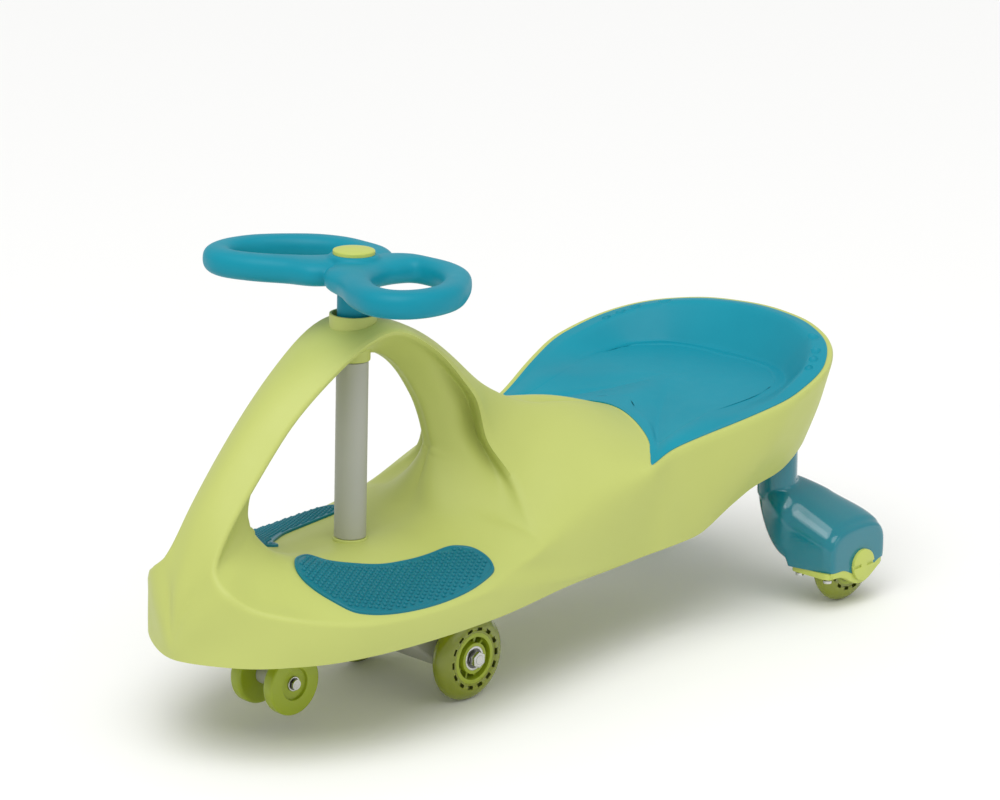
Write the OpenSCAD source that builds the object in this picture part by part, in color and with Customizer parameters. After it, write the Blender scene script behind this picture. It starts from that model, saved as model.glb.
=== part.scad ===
// Wiggle car: a ride-on toy that is driven by swinging its steering wheel.
// The nose points to -Y, the rider's left is +X, and the wheels stand on Z = 0.

/* [Body] */
// half of the body's greatest width, across the seat
body_half_w = 150; // [130:1:175]
// length of the body from nose to tail
body_len = 756; // [700:1:820]
// distance from the nose back to the steering axis
axis_setback = 203; // [190:1:215]
// height of the top of the arch above the ground
arch_h = 342; // [325:1:370]
// thickness of the moulded wall
body_wall = 3; // [2:0.1:4]
// backward lean of the steering axis, in degrees
rake_angle = 2; // [0:0.5:4]
// patches between two stations of the body's net
net_steps = 2; // [1:1:4]

/* [Seat and pads] */
// thickness of the seat cover
cover_t = 4; // [3:0.1:6]
// depth of the seat's bucket below the tail's rim
bucket_depth = 36.4; // [30:0.2:42]
// width of the body's edge that frames the seat
seat_lip = 3; // [2:0.1:5]
// thickness of the foot pads
pad_t = 2.5; // [1.5:0.1:4]

/* [Steering] */
// diameter of the steering shaft
shaft_d = 16; // [12:0.5:18]
// diameter of the grey sleeve between deck and arch
sleeve_d = 28; // [24:0.5:32]
// diameter of the collar that stands on the arch
collar_d = 41; // [38:0.5:46]
// height of the collar above the arch
collar_rise = 11; // [8:0.5:16]
// rise from the arch's top to the steering wheel's hub
column_rise = 42; // [30:1:60]
// half of the steering wheel's width
rim_half_w = 134; // [125:1:145]
// depth of the steering wheel, front to back
rim_depth = 137; // [125:1:145]
// height of the steering wheel's grip
grip_h = 24; // [18:0.5:28]
// height of the steering wheel's hub
hub_h = 21; // [18:0.5:26]
// diameter of the round cap on the steering wheel
cap_d = 36.4; // [32:0.2:40]

/* [Yoke] */
// diameter of the yoke's hub
yoke_d = 46; // [42:0.5:52]
// height of the yoke's hub
yoke_h = 18; // [14:0.5:22]
// distance of the front axle behind the steering axis
front_trail = 75.5; // [72:0.5:80]
// half of the axle housing's width
housing_half_w = 50; // [44:0.5:52]
// distance of the anti-tip axle ahead of the steering axis
tip_reach = 91; // [86:0.5:96]

/* [Road wheels] */
// radius of a road wheel
wheel_r = 40; // [37:0.5:42]
// width of a tyre
tyre_w = 21; // [20:0.5:24]
// radius of a wheel's hub
hub_r = 23; // [20:0.5:25]
// diameter of the axles
axle_d = 8; // [6:0.5:9]
// outer diameter of a ball bearing
bearing_d = 22; // [20:0.5:24]
// width of a ball bearing
bearing_w = 7; // [6:0.5:8]
// number of spoke pairs in a hub
spoke_pairs = 5; // [4:1:6]
// distance of a front wheel's middle from the car's middle
front_half_track = 67.8; // [66:0.2:74]
// distance of the rear axle behind the leg's post
axle_back = 33; // [28:0.5:38]

/* [Anti-tip wheels] */
// radius of an anti-tip wheel
tip_r = 28; // [25:0.5:30]
// width of an anti-tip wheel
tip_w = 12; // [10:0.5:16]
// height of the anti-tip axle above the ground
tip_axle_h = 48; // [44:0.5:52]
// diameter of the anti-tip axle
tip_axle_d = 5; // [4:0.5:6]

/* [Rear legs] */
// diameter of a leg's post
post_d = 38; // [34:0.5:40]
// width of a mudguard, from the post's side to its outer face
guard_w = 96; // [90:1:100]
// thickness of a mudguard outside its wheel
guard_wall = 8.5; // [6:0.5:11]
// length of a mudguard, front to back
guard_len = 94; // [88:1:100]
// height of a mudguard's top above the ground
guard_h = 119; // [112:1:124]
// thickness of a lime base plate
base_t = 8; // [6:0.5:10]
// radius of a slotted axle cap
axle_cap_r = 15; // [12:0.5:17]

/* [Fits] */
// radial clearance of a shaft in its hole
fit_gap = 0.05; // [0.02:0.01:0.1]
// distance kept between faces that move past each other
run_gap = 0.3; // [0.2:0.05:0.6]
// distance kept between curved faces that rest on each other
skin_gap = 0.2; // [0.1:0.05:0.4]

/* [Hidden] */
$fn = 64;
// extra length of a cut past the face that it leaves
overrun = 1;
// distance under which a point of a curve lies on the middle plane
middle_gap = 0.001;

// stations of the body's net run round the left half of the arch's opening:
// deck rim forward, up the front leg, over the arch and down the rear leg
// points are shares of half width, length and arch height
crease_shares = [
    [0.760, 0.425, 0.411], [0.793, 0.374, 0.383], [0.850, 0.321, 0.365], [0.857, 0.269, 0.359],
    [0.847, 0.216, 0.360], [0.807, 0.156, 0.367], [0.711, 0.110, 0.380], [0.584, 0.072, 0.399],
    [0.434, 0.042, 0.421], [0.309, 0.025, 0.458], [0.213, 0.025, 0.491], [0.173, 0.034, 0.532],
    [0.167, 0.058, 0.608], [0.173, 0.099, 0.713], [0.180, 0.149, 0.825], [0.207, 0.206, 0.920],
    [0.230, 0.258, 0.981], [0.240, 0.307, 0.988], [0.240, 0.362, 0.917], [0.234, 0.404, 0.827],
    [0.236, 0.431, 0.747], [0.264, 0.442, 0.643], [0.407, 0.455, 0.544], [0.618, 0.440, 0.460]
];
// outer boundary: seat corner, lower edge to the nose, seam of the arch, hump's ridge, tongue
outer_shares = [
    [0.751, 0.618, 0.523], [0.700, 0.618, 0.279], [0.747, 0.487, 0.284], [0.820, 0.368, 0.282],
    [0.840, 0.269, 0.284], [0.800, 0.183, 0.284], [0.711, 0.118, 0.282], [0.584, 0.073, 0.281],
    [0.382, 0.032, 0.278], [0.000, 0.000, 0.278], [0.000, 0.004, 0.380], [0.000, 0.013, 0.468],
    [0.000, 0.045, 0.611], [0.000, 0.086, 0.731], [0.000, 0.139, 0.848], [0.000, 0.200, 0.940],
    [0.000, 0.258, 0.997], [0.000, 0.313, 1.000], [0.000, 0.380, 0.930], [0.000, 0.433, 0.830],
    [0.000, 0.485, 0.725], [0.000, 0.586, 0.640], [0.000, 0.701, 0.585], [0.440, 0.669, 0.564]
];
// edge of the face that looks into the arch's opening
cheek_shares = [
    [0.187, 0.368, 0.477], [0.200, 0.341, 0.447], [0.200, 0.308, 0.439], [0.200, 0.269, 0.436],
    [0.200, 0.229, 0.436], [0.187, 0.192, 0.442], [0.160, 0.160, 0.456], [0.127, 0.131, 0.482],
    [0.093, 0.116, 0.512], [0.060, 0.108, 0.541], [0.047, 0.103, 0.573], [0.040, 0.102, 0.608],
    [0.033, 0.110, 0.658], [0.033, 0.131, 0.719], [0.033, 0.168, 0.795], [0.033, 0.216, 0.868],
    [0.033, 0.266, 0.924], [0.033, 0.308, 0.925], [0.033, 0.344, 0.873], [0.033, 0.370, 0.798],
    [0.033, 0.386, 0.731], [0.033, 0.397, 0.649], [0.053, 0.397, 0.602], [0.107, 0.384, 0.538]
];
// stations at which the outer boundary has a corner
nose_station = 9;
tongue_station = 22;
corner_stations = [0, 1, nose_station, tongue_station];
// how far the skin swells between outer boundary and crease
swell_shares = [
    [-0.027, 0, 0], [0.007, 0, 0], [0.013, 0, 0], [0.013, 0, 0],
    [0.010, 0, 0], [0.010, 0, 0], [0.010, 0, 0], [0.010, 0, 0],
    [0, 0, 0], [0, -0.005, 0], [0, 0, 0], [0, -0.001, 0],
    [0, -0.002, 0.003], [0, -0.002, 0.004], [0, -0.002, 0.005], [0, -0.001, 0.005],
    [0, 0, 0.004], [0, 0, 0.004], [0, 0.001, 0.006], [0, 0.001, 0.015],
    [0, 0, 0.029], [0, 0, 0.038], [0, 0, 0.067], [0, 0, 0.047]
];
// how far the side of the rear leg is drawn in beside its inner rib
pinch_shares = [
    0, 0, 0, 0, 0, 0, 0, 0, 0, 0, 0, 0, 0, 0, 0, 0, 0,
    0, -0.020, -0.060, -0.080, -0.093, -0.040, 0
];
// how far the deck and the foot of the hump rise between crease and inner edge
rise_shares = [
    0.009, 0.009, 0.009, 0.009, 0.009, 0.009, 0.009, -0.006, -0.006,
    0, 0, 0, 0, 0, 0, 0, 0, 0, 0, 0, 0, 0, -0.012, -0.015
];
// share of the pinch that is left at the middle of the leg's side
pinch_left_share = 0.3;
// backward part of the pinch, as a share of the body's length for each share of its half width
pinch_turn_share = -0.2;
// places of the skin's rows between crease and outer boundary, and between crease and inner edge
skin_row_shares = [0.333, 0.667];
side_row_shares = [0.2, 0.5];

// edge of the seat from its front corner to the tail
rim_shares = [
    [0.751, 0.618, 0.523], [0.783, 0.679, 0.557], [0.893, 0.742, 0.592], [0.987, 0.804, 0.626],
    [0.997, 0.844, 0.648], [0.947, 0.894, 0.675], [0.827, 0.934, 0.699], [0.667, 0.963, 0.715],
    [0.440, 0.985, 0.728], [0.220, 0.996, 0.733], [0.000, 1.000, 0.735]
];
// lower edge of the tail, below the seat's edge
sill_shares = [
    [0.700, 0.618, 0.279], [0.713, 0.672, 0.284], [0.733, 0.714, 0.298], [0.753, 0.755, 0.344],
    [0.760, 0.802, 0.383], [0.747, 0.856, 0.401], [0.713, 0.901, 0.439], [0.647, 0.930, 0.477],
    [0.440, 0.956, 0.500], [0.220, 0.968, 0.509], [0.000, 0.971, 0.512]
];
// outward swell of the tail's side wall
tail_swell_share = 0.027;
// foot of the seat's wall from the tongue's tip to the tail, in plan
foot_shares = [
    [0.000, 0.721], [0.372, 0.693], [0.652, 0.652], [0.668, 0.692], [0.693, 0.745],
    [0.733, 0.798], [0.740, 0.840], [0.687, 0.885], [0.587, 0.909], [0.467, 0.925],
    [0.300, 0.934], [0.147, 0.938], [0.000, 0.939]
];
// places on the middle line that the seat's columns run to
spine_shares = [
    0.745, 0.768, 0.808, 0.822, 0.828, 0.833, 0.839, 0.848, 0.861, 0.874, 0.885, 0.892, 0.897
];
// width of the seat's flat edge, as shares of its greatest width
flange_shares = [
    0.15, 0.15, 0.06, 0.22, 0.50, 0.75, 0.94, 1.00, 0.88, 0.75, 0.69, 0.63, 0.63
];
flange_w = 16;
// part of its fall below the pan that the seat's edge keeps at the foot
fall_share = 0.6;

// outline of the left foot pad in plan
pad_shares = [
    [0.158, 0.156], [0.121, 0.179], [0.226, 0.190], [0.319, 0.213], [0.399, 0.240], [0.440, 0.274],
    [0.457, 0.303], [0.463, 0.334], [0.501, 0.348], [0.565, 0.357], [0.660, 0.359], [0.741, 0.354],
    [0.787, 0.342], [0.830, 0.302], [0.842, 0.256], [0.832, 0.216], [0.803, 0.181], [0.757, 0.155],
    [0.688, 0.138], [0.548, 0.129], [0.419, 0.128], [0.322, 0.131], [0.237, 0.139]
];
// first and last station of the deck under the pads, past the closing of the loop
pad_stations = [22, 32];

// places of the seat's screws and of the leg posts
seat_screw_shares = [[0.400, 0.797], [0.333, 0.884]];
post_place_share = [0.567, 0.899];

// left hand loop in plan, from the middle rearward and round: outer edge, then edge of the hole
loop_shares = [
    [-0.06, 0.266], [0.07, 0.406], [0.28, 0.436], [0.49, 0.436], [0.69, 0.356],
    [0.86, 0.176], [0.98, -0.024], [1.00, -0.264], [0.91, -0.464], [0.72, -0.554],
    [0.49, -0.504], [0.25, -0.374], [0.04, -0.294], [-0.07, -0.054]
];
hole_shares = [
    [0.25, 0.146], [0.28, 0.256], [0.37, 0.276], [0.50, 0.246], [0.64, 0.156],
    [0.75, 0.026], [0.82, -0.134], [0.81, -0.274], [0.73, -0.364], [0.61, -0.354],
    [0.46, -0.264], [0.35, -0.154], [0.28, -0.034], [0.25, 0.056]
];
// mudguard's sections from the post outward: place, front and rear edge, lower and upper edge
guard_shares = [
    [0.00, -0.422, -0.231, 0.840, 0.975],
    [0.09, -0.497, -0.124, 0.689, 1.000],
    [0.24, -0.571, 0.024, 0.504, 0.983],
    [0.41, -0.614, 0.173, 0.387, 0.924],
    [0.57, -0.571, 0.290, 0.336, 0.849],
    [0.81, -0.518, 0.386, 0.336, 0.756],
    [1.00, -0.476, 0.386, 0.336, 0.672]
];

// colours
lime = [0.60, 0.80, 0.15];
teal = [0.05, 0.50, 0.58];
grey = [0.55, 0.57, 0.58];
steel = [0.75, 0.76, 0.78];
clear_lime = [0.72, 0.85, 0.30];

// heights along the steering axis
collar_drop = 4;
ring_rise = 4.5;
ring_drop = 31;
ring_wall = 4.5;
bush_wall = 3;
collar_wall = 4;
stub_entry = 4.5;
stub_room = 5;
washer_t = 1.5;
washer_margin = 4;
shaft_tail = 6;
hub_margin = 4;
grip_drop = 3.5;
nut_h = 8;
nut_d = 26;
nut_room = 1;
nut_depth = 13;
shaft_tip = 2;
cap_h = 5;
cap_round = 2;
pin_d = 5;
pin_inset = 1;
deck_h = cheek_shares[3].z * arch_h;
under_arch_h = cheek_shares[16].z * arch_h;
collar_mouth_d = collar_d - 2 * collar_wall;
collar_low_h = under_arch_h - collar_drop;
collar_step_h = crease_shares[16].z * arch_h - body_wall;
collar_top_h = arch_h + collar_rise;
bush_top_h = collar_top_h - stub_entry - stub_room;
stub_d = sleeve_d;
ring_top_h = deck_h + ring_rise;
ring_low_h = deck_h - ring_drop;
bush_d = shaft_d + 2 * bush_wall;
ring_d = bush_d + 2 * ring_wall;
washer_d = yoke_d - 2 * washer_margin;
yoke_top_h = ring_low_h - run_gap - washer_t;
yoke_low_h = yoke_top_h - yoke_h;
shaft_low_h = yoke_low_h - shaft_tail;
hub_low_h = arch_h + column_rise;
hub_top_h = hub_low_h + hub_h;
hub_r_wheel = cap_d / 2 + hub_margin;
nut_pocket_d = nut_d + 2 * nut_room;
nut_low_h = hub_top_h - nut_depth;
shaft_top_h = nut_low_h + nut_h + shaft_tip;
pin_len = yoke_d - 2 * pin_inset;

// road wheels
hub_inset = 1;
rim_t = 3.5;
boss_wall = 3;
web_t = 8;
spoke_t = 2.2;
spoke_spread_angle = 16;
spacer_wall = 1.5;
race_wall = 2;
shield_dip = 0.5;
tread_root_share = 0.66;
tread_crown = 1.4;
tread_steps = 6;
slot_count = 20;
slot_len = 4.5;
slot_w = 3;
slot_depth = 3;
slot_margin = 2;
axle_nut_w = 6;
axle_nut_d = 15;
collar_r = 7;
hub_half_w = tyre_w / 2 - hub_inset;
bearing_inner_d = axle_d + 2 * fit_gap;
slot_ring_r = hub_r + slot_margin + slot_w / 2;
axle_h = wheel_r;

// anti-tip wheels
tip_boss_half_w = 14.1;
tip_arm_half_w = 8;
tip_boss_r = 9;
tip_bearing_d = 13;
tip_recess_r = 14;
tip_recess = 3;
tip_round = 3;
clip_t = 1.5;
clip_d = 9;

// yoke's arms
arm_slice_h = 14;
housing_r = 17;
knee_y_share = 0.56;
knee_h_share = 0.46;
knee_r = 8;
arm_slice_d = yoke_d - 2 * washer_margin;

// seat plane, legs and their screws
socket_wall = 4;
socket_share = 0.54;
socket_roof = 6;
bolt_head_d = 13;
bolt_head_h = 4;
bolt_d = 6;
bolt_len = 34;
bolt_room = 1.5;
stud_d = 9;
stud_gap = 0.5;
stud_len = 14;
screw_d = 3.4;
screw_len = 11;
screw_head_d = 14;
screw_head_h = 3;
tube_wall = 3;
pan_front_h = outer_shares[tongue_station].z * arch_h;
pan_rear_h = rim_shares[10].z * arch_h - bucket_depth;
pan_front_y = outer_shares[tongue_station].y * body_len - axis_setback;
pan_rear_y = foot_shares[12].y * body_len - axis_setback;
pan_slope_share = (pan_rear_h - pan_front_h) / (pan_rear_y - pan_front_y);
post_x = post_place_share.x * body_half_w;
post_y = post_place_share.y * body_len - axis_setback;
rear_axle_y = post_y + axle_back;
bed_at_post_h = pan_h(post_y) - cover_t;
bolt_seat_h = bed_at_post_h - bolt_head_h - bolt_room;
post_top_h = bolt_seat_h - socket_roof;
socket_depth = (post_top_h - guard_h) * socket_share;
socket_low_h = post_top_h - socket_depth;

// mudguards and their base plates
guard_points = 24;
guard_square_share = 0.72;
guard_low_square_share = 0.4;
well_gap = 4;
guard_inset = 18;
base_side = 12;
base_boss_r = 18;
base_screw_d = 4;
base_screw_len = 22;
base_head_d = 8;
base_head_h = 2.5;
base_screw_inset = 8;
axle_head_d = 14;
axle_head_w = 3;
axle_head_room = 0.5;
axle_cap_t = 3.5;
axle_cap_boss_r = 4.5;
cap_slot_w = 3;
cap_slot_depth = 1.5;
axle_cap_bore = 2;
well_half_w = tyre_w / 2 + well_gap;
guard_in_x = post_x - guard_inset;
guard_out_x = guard_in_x + guard_w;
rear_half_track = guard_out_x - guard_wall - well_half_w;
base_top_h = guard_shares[6][3] * guard_h;
base_low_h = base_top_h - base_t;
base_in_x = rear_half_track - well_half_w - base_side;
base_front_y = rear_axle_y + guard_shares[5][1] * guard_len;
base_rear_y = rear_axle_y + guard_shares[5][2] * guard_len;

middle_y = body_len / 2 - axis_setback;

// curves through chosen points
function mix(a, b, t) = a + (b - a) * t;
function flip_x(p) = [0 - p.x, p.y, p.z];
function place(s) = [s.x * body_half_w, s.y * body_len - axis_setback, s.z * arch_h];
function stretch(s) = [s.x * body_half_w, s.y * body_len, s.z * arch_h];
function bend(a, b, c, d, u) =
    (2 * b + (c - a) * u + (2 * a - 5 * b + 4 * c - d) * u * u + (3 * b - a - 3 * c + d) * u * u * u) / 2;
function settled(p) = abs(p.x) < middle_gap ? [0, p.y, p.z] : p;
function is_in(list, value) = len(search(value, list)) > 0;
function beyond(end, next) = end.x == 0 && next.x != 0 ? flip_x(next) : 2 * end - next;
function ring_curve(p, n, corners = []) = [
    for (i = [0 : len(p) - 1], s = [0 : n - 1])
        let (count = len(p), b = p[i], c = p[(i + 1) % count],
            a = is_in(corners, i) ? beyond(b, c) : p[(i + count - 1) % count],
            d = is_in(corners, (i + 1) % count) ? beyond(c, b) : p[(i + 2) % count])
        settled(bend(a, b, c, d, s / n))
];
function tail_curve(p, n) = [
    for (i = [0 : len(p) - 2], s = [0 : (i == len(p) - 2 ? n : n - 1)])
        let (b = p[i], c = p[i + 1],
            a = i == 0 ? 2 * b - c : p[i - 1],
            d = i == len(p) - 2 ? flip_x(b) : p[i + 2])
        settled(bend(a, b, c, d, s / n))
];
function closed(row) = [each row, row[0]];

// faces of a grid of points, and a solid from several grids
function grid_faces(rows, cols, first, turned) = [
    for (r = [0 : rows - 2], k = [0 : cols - 2])
        let (a = first + r * cols + k, b = a + cols, c = b + 1, d = a + 1)
        each turned ? [[a, b, c], [a, c, d]] : [[a, d, c], [a, c, b]]
];
function sums(list, i = 0, total = 0) =
    i == len(list) ? [] : [total, each sums(list, i + 1, total + list[i])];
function mirrored(patch) = [[for (row = patch[0]) [for (p = row) flip_x(p)]], !patch[1]];

function patch_faces(patches) =
    let (firsts = sums([for (p = patches) len(p[0]) * len(p[0][0])]))
    [for (i = [0 : len(patches) - 1])
        each grid_faces(len(patches[i][0]), len(patches[i][0][0]), firsts[i], patches[i][1])];
function is_off_middle(points, face) = max([for (i = face) abs(points[i].x)]) > 0;

module solid_of(patches) {
    polyhedron(
        points = [for (p = patches, row = p[0]) each row],
        faces = patch_faces(patches),
        convexity = 10);
}

// left half and its mirror image, without the faces that would fold flat on the middle plane
module both_halves(patches) {
    whole = [each patches, for (p = patches) mirrored(p)];
    points = [for (p = whole, row = p[0]) each row];
    polyhedron(
        points = points,
        faces = [for (face = patch_faces(whole)) if (is_off_middle(points, face)) face],
        convexity = 10);
}

// skin of the front: from the outer boundary over the crease to the middle of the opening's face
stations = len(crease_shares);
crease = [for (s = crease_shares) place(s)];
outer = [for (s = outer_shares) place(s)];
cheek = [for (s = cheek_shares) place(s)];
function between(k, t) = mix(crease[k], outer[k], t) + stretch(swell_shares[k]);
function beside(k, t, left) =
    mix(crease[k], cheek[k], t)
    + stretch([pinch_shares[k] * left, pinch_shares[k] * left * pinch_turn_share, rise_shares[k]]);
front_net = [
    outer,
    [for (k = [0 : stations - 1]) between(k, skin_row_shares[1])],
    [for (k = [0 : stations - 1]) between(k, skin_row_shares[0])],
    crease,
    [for (k = [0 : stations - 1]) beside(k, side_row_shares[0], 1)],
    [for (k = [0 : stations - 1]) beside(k, side_row_shares[1], pinch_left_share)],
    cheek,
    [for (p = cheek) [0, p.y, p.z]]
];
front = [for (r = [0 : len(front_net) - 1])
    ring_curve(front_net[r], net_steps, r == 0 ? corner_stations : [])];
front_count = stations * net_steps;

// skin of the tail: from the seat's edge down to the sill
rim = tail_curve([for (s = rim_shares) place(s)], net_steps);
sill = tail_curve([for (s = sill_shares) place(s)], net_steps);
function tail_swell(j, t) = tail_swell_share * body_half_w * sin(180 * t) * min(1, j / (2 * net_steps));
tail = [for (u = [0 : net_steps]) [for (j = [0 : len(rim) - 1])
    let (p = mix(rim[j], sill[j], u / net_steps))
    p + (p.x == 0 ? [0, 0, 0] : [tail_swell(j, u / net_steps), 0, 0])]];

// bed under the seat: from the seat's edge to the middle line
function pan_h(y) = pan_front_h + (y - pan_front_y) * pan_slope_share;
tongue = [for (k = [tongue_station * net_steps : front_count - 1]) front[0][k]];
seat_edge = [each tongue, each rim];
seat_foot = tail_curve([for (s = foot_shares) place([s.x, s.y, 0])], net_steps);
seat_spine = tail_curve([for (s = spine_shares) place([0, s, 0])], net_steps);
flange = tail_curve([for (s = flange_shares) [0, s * flange_w, 0]], net_steps);
function heading(a, b) = let (v = [b.x - a.x, b.y - a.y]) v / norm(v);
function inward(b) =
    let (last = len(seat_edge) - 1, here = seat_edge[b],
        before = b == 0 ? flip_x(seat_edge[1]) : seat_edge[b - 1],
        after = b == last ? flip_x(seat_edge[b - 1]) : seat_edge[b + 1],
        t = heading(before, here) + heading(here, after))
    [-t.y, t.x, 0] / norm(t);
function pan_point(p, b, part) =
    [p.x, p.y, pan_h(p.y) - part * max(0, pan_h(p.y) - seat_edge[b].z)];
up = [0, 0, 1];
seat_range = [0 : len(seat_edge) - 1];
lip_inner = [for (b = seat_range) seat_edge[b] + inward(b) * seat_lip];
pan_foot = [for (b = seat_range) pan_point(seat_foot[b], b, fall_share)];
pan_spine = [for (b = seat_range) pan_point(seat_spine[b], b, 0)];
pan_mid = [for (b = seat_range)
    pan_point(mix(seat_foot[b], seat_spine[b], fall_share), b, fall_share * (1 - fall_share))];
function shifted(row, v) = [for (p = row) p + v];
bed = [seat_edge, lip_inner,
    for (row = [lip_inner, pan_foot, pan_mid, pan_spine]) shifted(row, -cover_t * up)];

// inner faces, one wall inside the outer ones
function on_middle(p, v) = p.x == 0 ? [0, v.y, v.z] : v;
function wall_normal(g, r, k, ring) =
    let (cols = len(g[0]),
        k0 = ring ? (k + cols - 1) % cols : max(0, k - 1),
        k1 = ring ? (k + 1) % cols : min(cols - 1, k + 1),
        r0 = max(0, r - 1), r1 = min(len(g) - 1, r + 1),
        v = on_middle(g[r][k], cross(g[r1][k] - g[r0][k], g[r][k1] - g[r][k0])))
    v / norm(v);
function inside(g, ring) = [for (r = [0 : len(g) - 1]) [for (k = [0 : len(g[0]) - 1])
    g[r][k] - body_wall * wall_normal(g, r, k, ring)]];
front_inner = inside(front, true);
tail_inner = inside(tail, false);
edge_inner = [for (b = seat_range)
    seat_edge[b] + inward(b) * seat_lip - (cover_t + body_wall) * up];
tongue_count = len(tongue);
front_back = [for (r = [0 : len(front) - 1]) [for (k = [0 : front_count - 1])
    r > 0 ? front_inner[r][k]
    : k == 0 ? edge_inner[tongue_count]
    : k >= front_count - tongue_count ? edge_inner[k - front_count + tongue_count]
    : front_inner[r][k]]];
tail_back = [for (u = [0 : net_steps]) [for (j = [0 : len(rim) - 1])
    j == 0 ? front_back[0][u] : u == 0 ? edge_inner[tongue_count + j] : tail_inner[u][j]]];
bed_back = [edge_inner,
    for (row = [pan_foot, pan_mid, pan_spine]) shifted(row, -(cover_t + body_wall) * up)];
function lower_edge(g, t) = [
    for (j = [len(rim) - 1 : -1 : 1]) t[net_steps][j],
    for (k = [net_steps : nose_station * net_steps]) g[0][k]
];

module shell() {
    both_halves([
        [[for (row = front) closed(row)], false],
        [tail, false],
        [bed, true],
        [[for (row = front_back) closed(row)], true],
        [tail_back, true],
        [bed_back, false],
        [[lower_edge(front, tail), lower_edge(front_back, tail_back)], true]
    ]);
}

// places along the raked steering axis, and left and right copies
module on_axis(h) {
    translate([0, 0, deck_h]) rotate([-rake_angle, 0, 0]) translate([0, 0, h - deck_h]) children();
}

module at_post(h) {
    translate([post_x, post_y, h]) children();
}

module on_both_sides() {
    children();
    mirror([1, 0, 0]) children();
}

module on_side(side) {
    flip = side == "left" ? 0 : 1;
    mirror([flip, 0, 0]) children();
}

module across(x) {
    translate([x, 0, 0]) rotate([0, 90, 0]) children();
}

module tube(h, outer_d, bore_d) {
    difference() {
        cylinder(h = h, d = outer_d);
        translate([0, 0, -overrun]) cylinder(h = h + 2 * overrun, d = bore_d);
    }
}

// space above the middle of the bed's wall
module above_bed() {
    reach = body_half_w + body_len;
    bed_mid_h = pan_front_h - cover_t - body_wall / 2;
    translate([0, pan_front_y, bed_mid_h]) rotate([atan(pan_slope_share), 0, 0])
        translate([-reach, -reach, 0]) cube([2 * reach, 2 * reach, reach]);
}

module seat_screw_places() {
    for (s = seat_screw_shares)
        on_both_sides() translate([s.x * body_half_w, s.y * body_len - axis_setback, 0]) children();
}

// lower end of the studs under the seat
stud_low_h = pan_h(seat_screw_shares[0].y * body_len - axis_setback) - cover_t - stud_len;
tube_low_h = stud_low_h - stud_gap;
tube_d = stud_d + 2 * (stud_gap + tube_wall);
socket_d = post_d + 2 * (fit_gap + socket_wall);

module bed_posts() {
    difference() {
        union() {
            on_both_sides() at_post(socket_low_h) cylinder(h = pan_rear_h - socket_low_h, d = socket_d);
            seat_screw_places() translate([0, 0, tube_low_h])
                cylinder(h = pan_rear_h - tube_low_h, d = tube_d);
        }
        above_bed();
    }
}

module body_shell() {
    color(lime) difference() {
        union() {
            shell();
            on_axis(collar_step_h) cylinder(h = collar_top_h - collar_step_h, d = collar_d);
            on_axis(collar_low_h) cylinder(h = bush_top_h - collar_low_h, d = ring_d);
            on_axis(ring_low_h) cylinder(h = ring_top_h - ring_low_h, d = ring_d);
            bed_posts();
        }
        on_axis(collar_low_h - overrun)
            cylinder(h = collar_top_h - collar_low_h, d = bush_d + 2 * fit_gap);
        on_axis(bush_top_h) cylinder(h = collar_top_h - bush_top_h + overrun, d = collar_mouth_d);
        on_axis(ring_low_h - overrun)
            cylinder(h = ring_top_h - ring_low_h + 2 * overrun, d = bush_d + 2 * fit_gap);
        on_both_sides() {
            at_post(socket_low_h - overrun)
                cylinder(h = socket_depth + overrun, d = post_d + 2 * fit_gap);
            at_post(post_top_h - overrun) cylinder(h = socket_roof + 2 * overrun, d = bolt_d + 2 * run_gap);
            at_post(bolt_seat_h) cylinder(h = pan_rear_h - bolt_seat_h, d = bolt_head_d + 2 * bolt_room);
        }
        seat_screw_places() translate([0, 0, tube_low_h - overrun])
            cylinder(h = pan_rear_h - tube_low_h, d = stud_d + 2 * stud_gap);
    }
}

// seat cover: follows the bed from below and forms the bucket above
cover_low = [for (row = [[for (b = seat_range) lip_inner[b] + inward(b) * skin_gap],
    pan_foot, pan_mid, pan_spine]) shifted(row, (skin_gap - cover_t) * up)];
cover_edge = [for (b = seat_range) lip_inner[b] + inward(b) * skin_gap];
cover_flange = [for (b = seat_range) lip_inner[b] + inward(b) * flange[b].y];
cover_top = [cover_edge, cover_flange, pan_foot, pan_mid, pan_spine];

module seat_cover() {
    color(teal) difference() {
        union() {
            both_halves([[cover_top, true], [cover_low, false], [[cover_edge, cover_low[0]], false]]);
            difference() {
                seat_screw_places() translate([0, 0, stud_low_h])
                    cylinder(h = pan_rear_h - stud_low_h, d = stud_d);
                translate([0, 0, cover_t / 2 + body_wall / 2]) above_bed();
            }
        }
        seat_screw_places() translate([0, 0, stud_low_h - overrun])
            cylinder(h = screw_len + overrun, d = screw_d + 2 * fit_gap);
    }
}

module seat_screws() {
    color(steel) seat_screw_places() {
        translate([0, 0, tube_low_h - screw_head_h]) cylinder(h = screw_head_h, d = screw_head_d);
        translate([0, 0, tube_low_h]) cylinder(h = screw_len, d = screw_d);
    }
}

// foot pads: a slice of constant thickness that lies on the deck, cut to the pad's outline
deck_rows = [3 : 7];
deck_top = [for (r = deck_rows) [for (k = [pad_stations[0] * net_steps : pad_stations[1] * net_steps])
    front[r][k % front_count]]];

module deck_slice() {
    low = [for (row = deck_top) shifted(row, skin_gap * up)];
    high = [for (row = deck_top) shifted(row, (skin_gap + pad_t) * up)];
    last = len(deck_top[0]) - 1;
    ends = len(deck_top) - 1;
    solid_of([
        [high, false],
        [low, true],
        [[low[0], high[0]], false],
        [[low[ends], high[ends]], true],
        [[[for (row = low) row[0]], [for (row = high) row[0]]], true],
        [[[for (row = low) row[last]], [for (row = high) row[last]]], false]
    ]);
}

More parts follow.
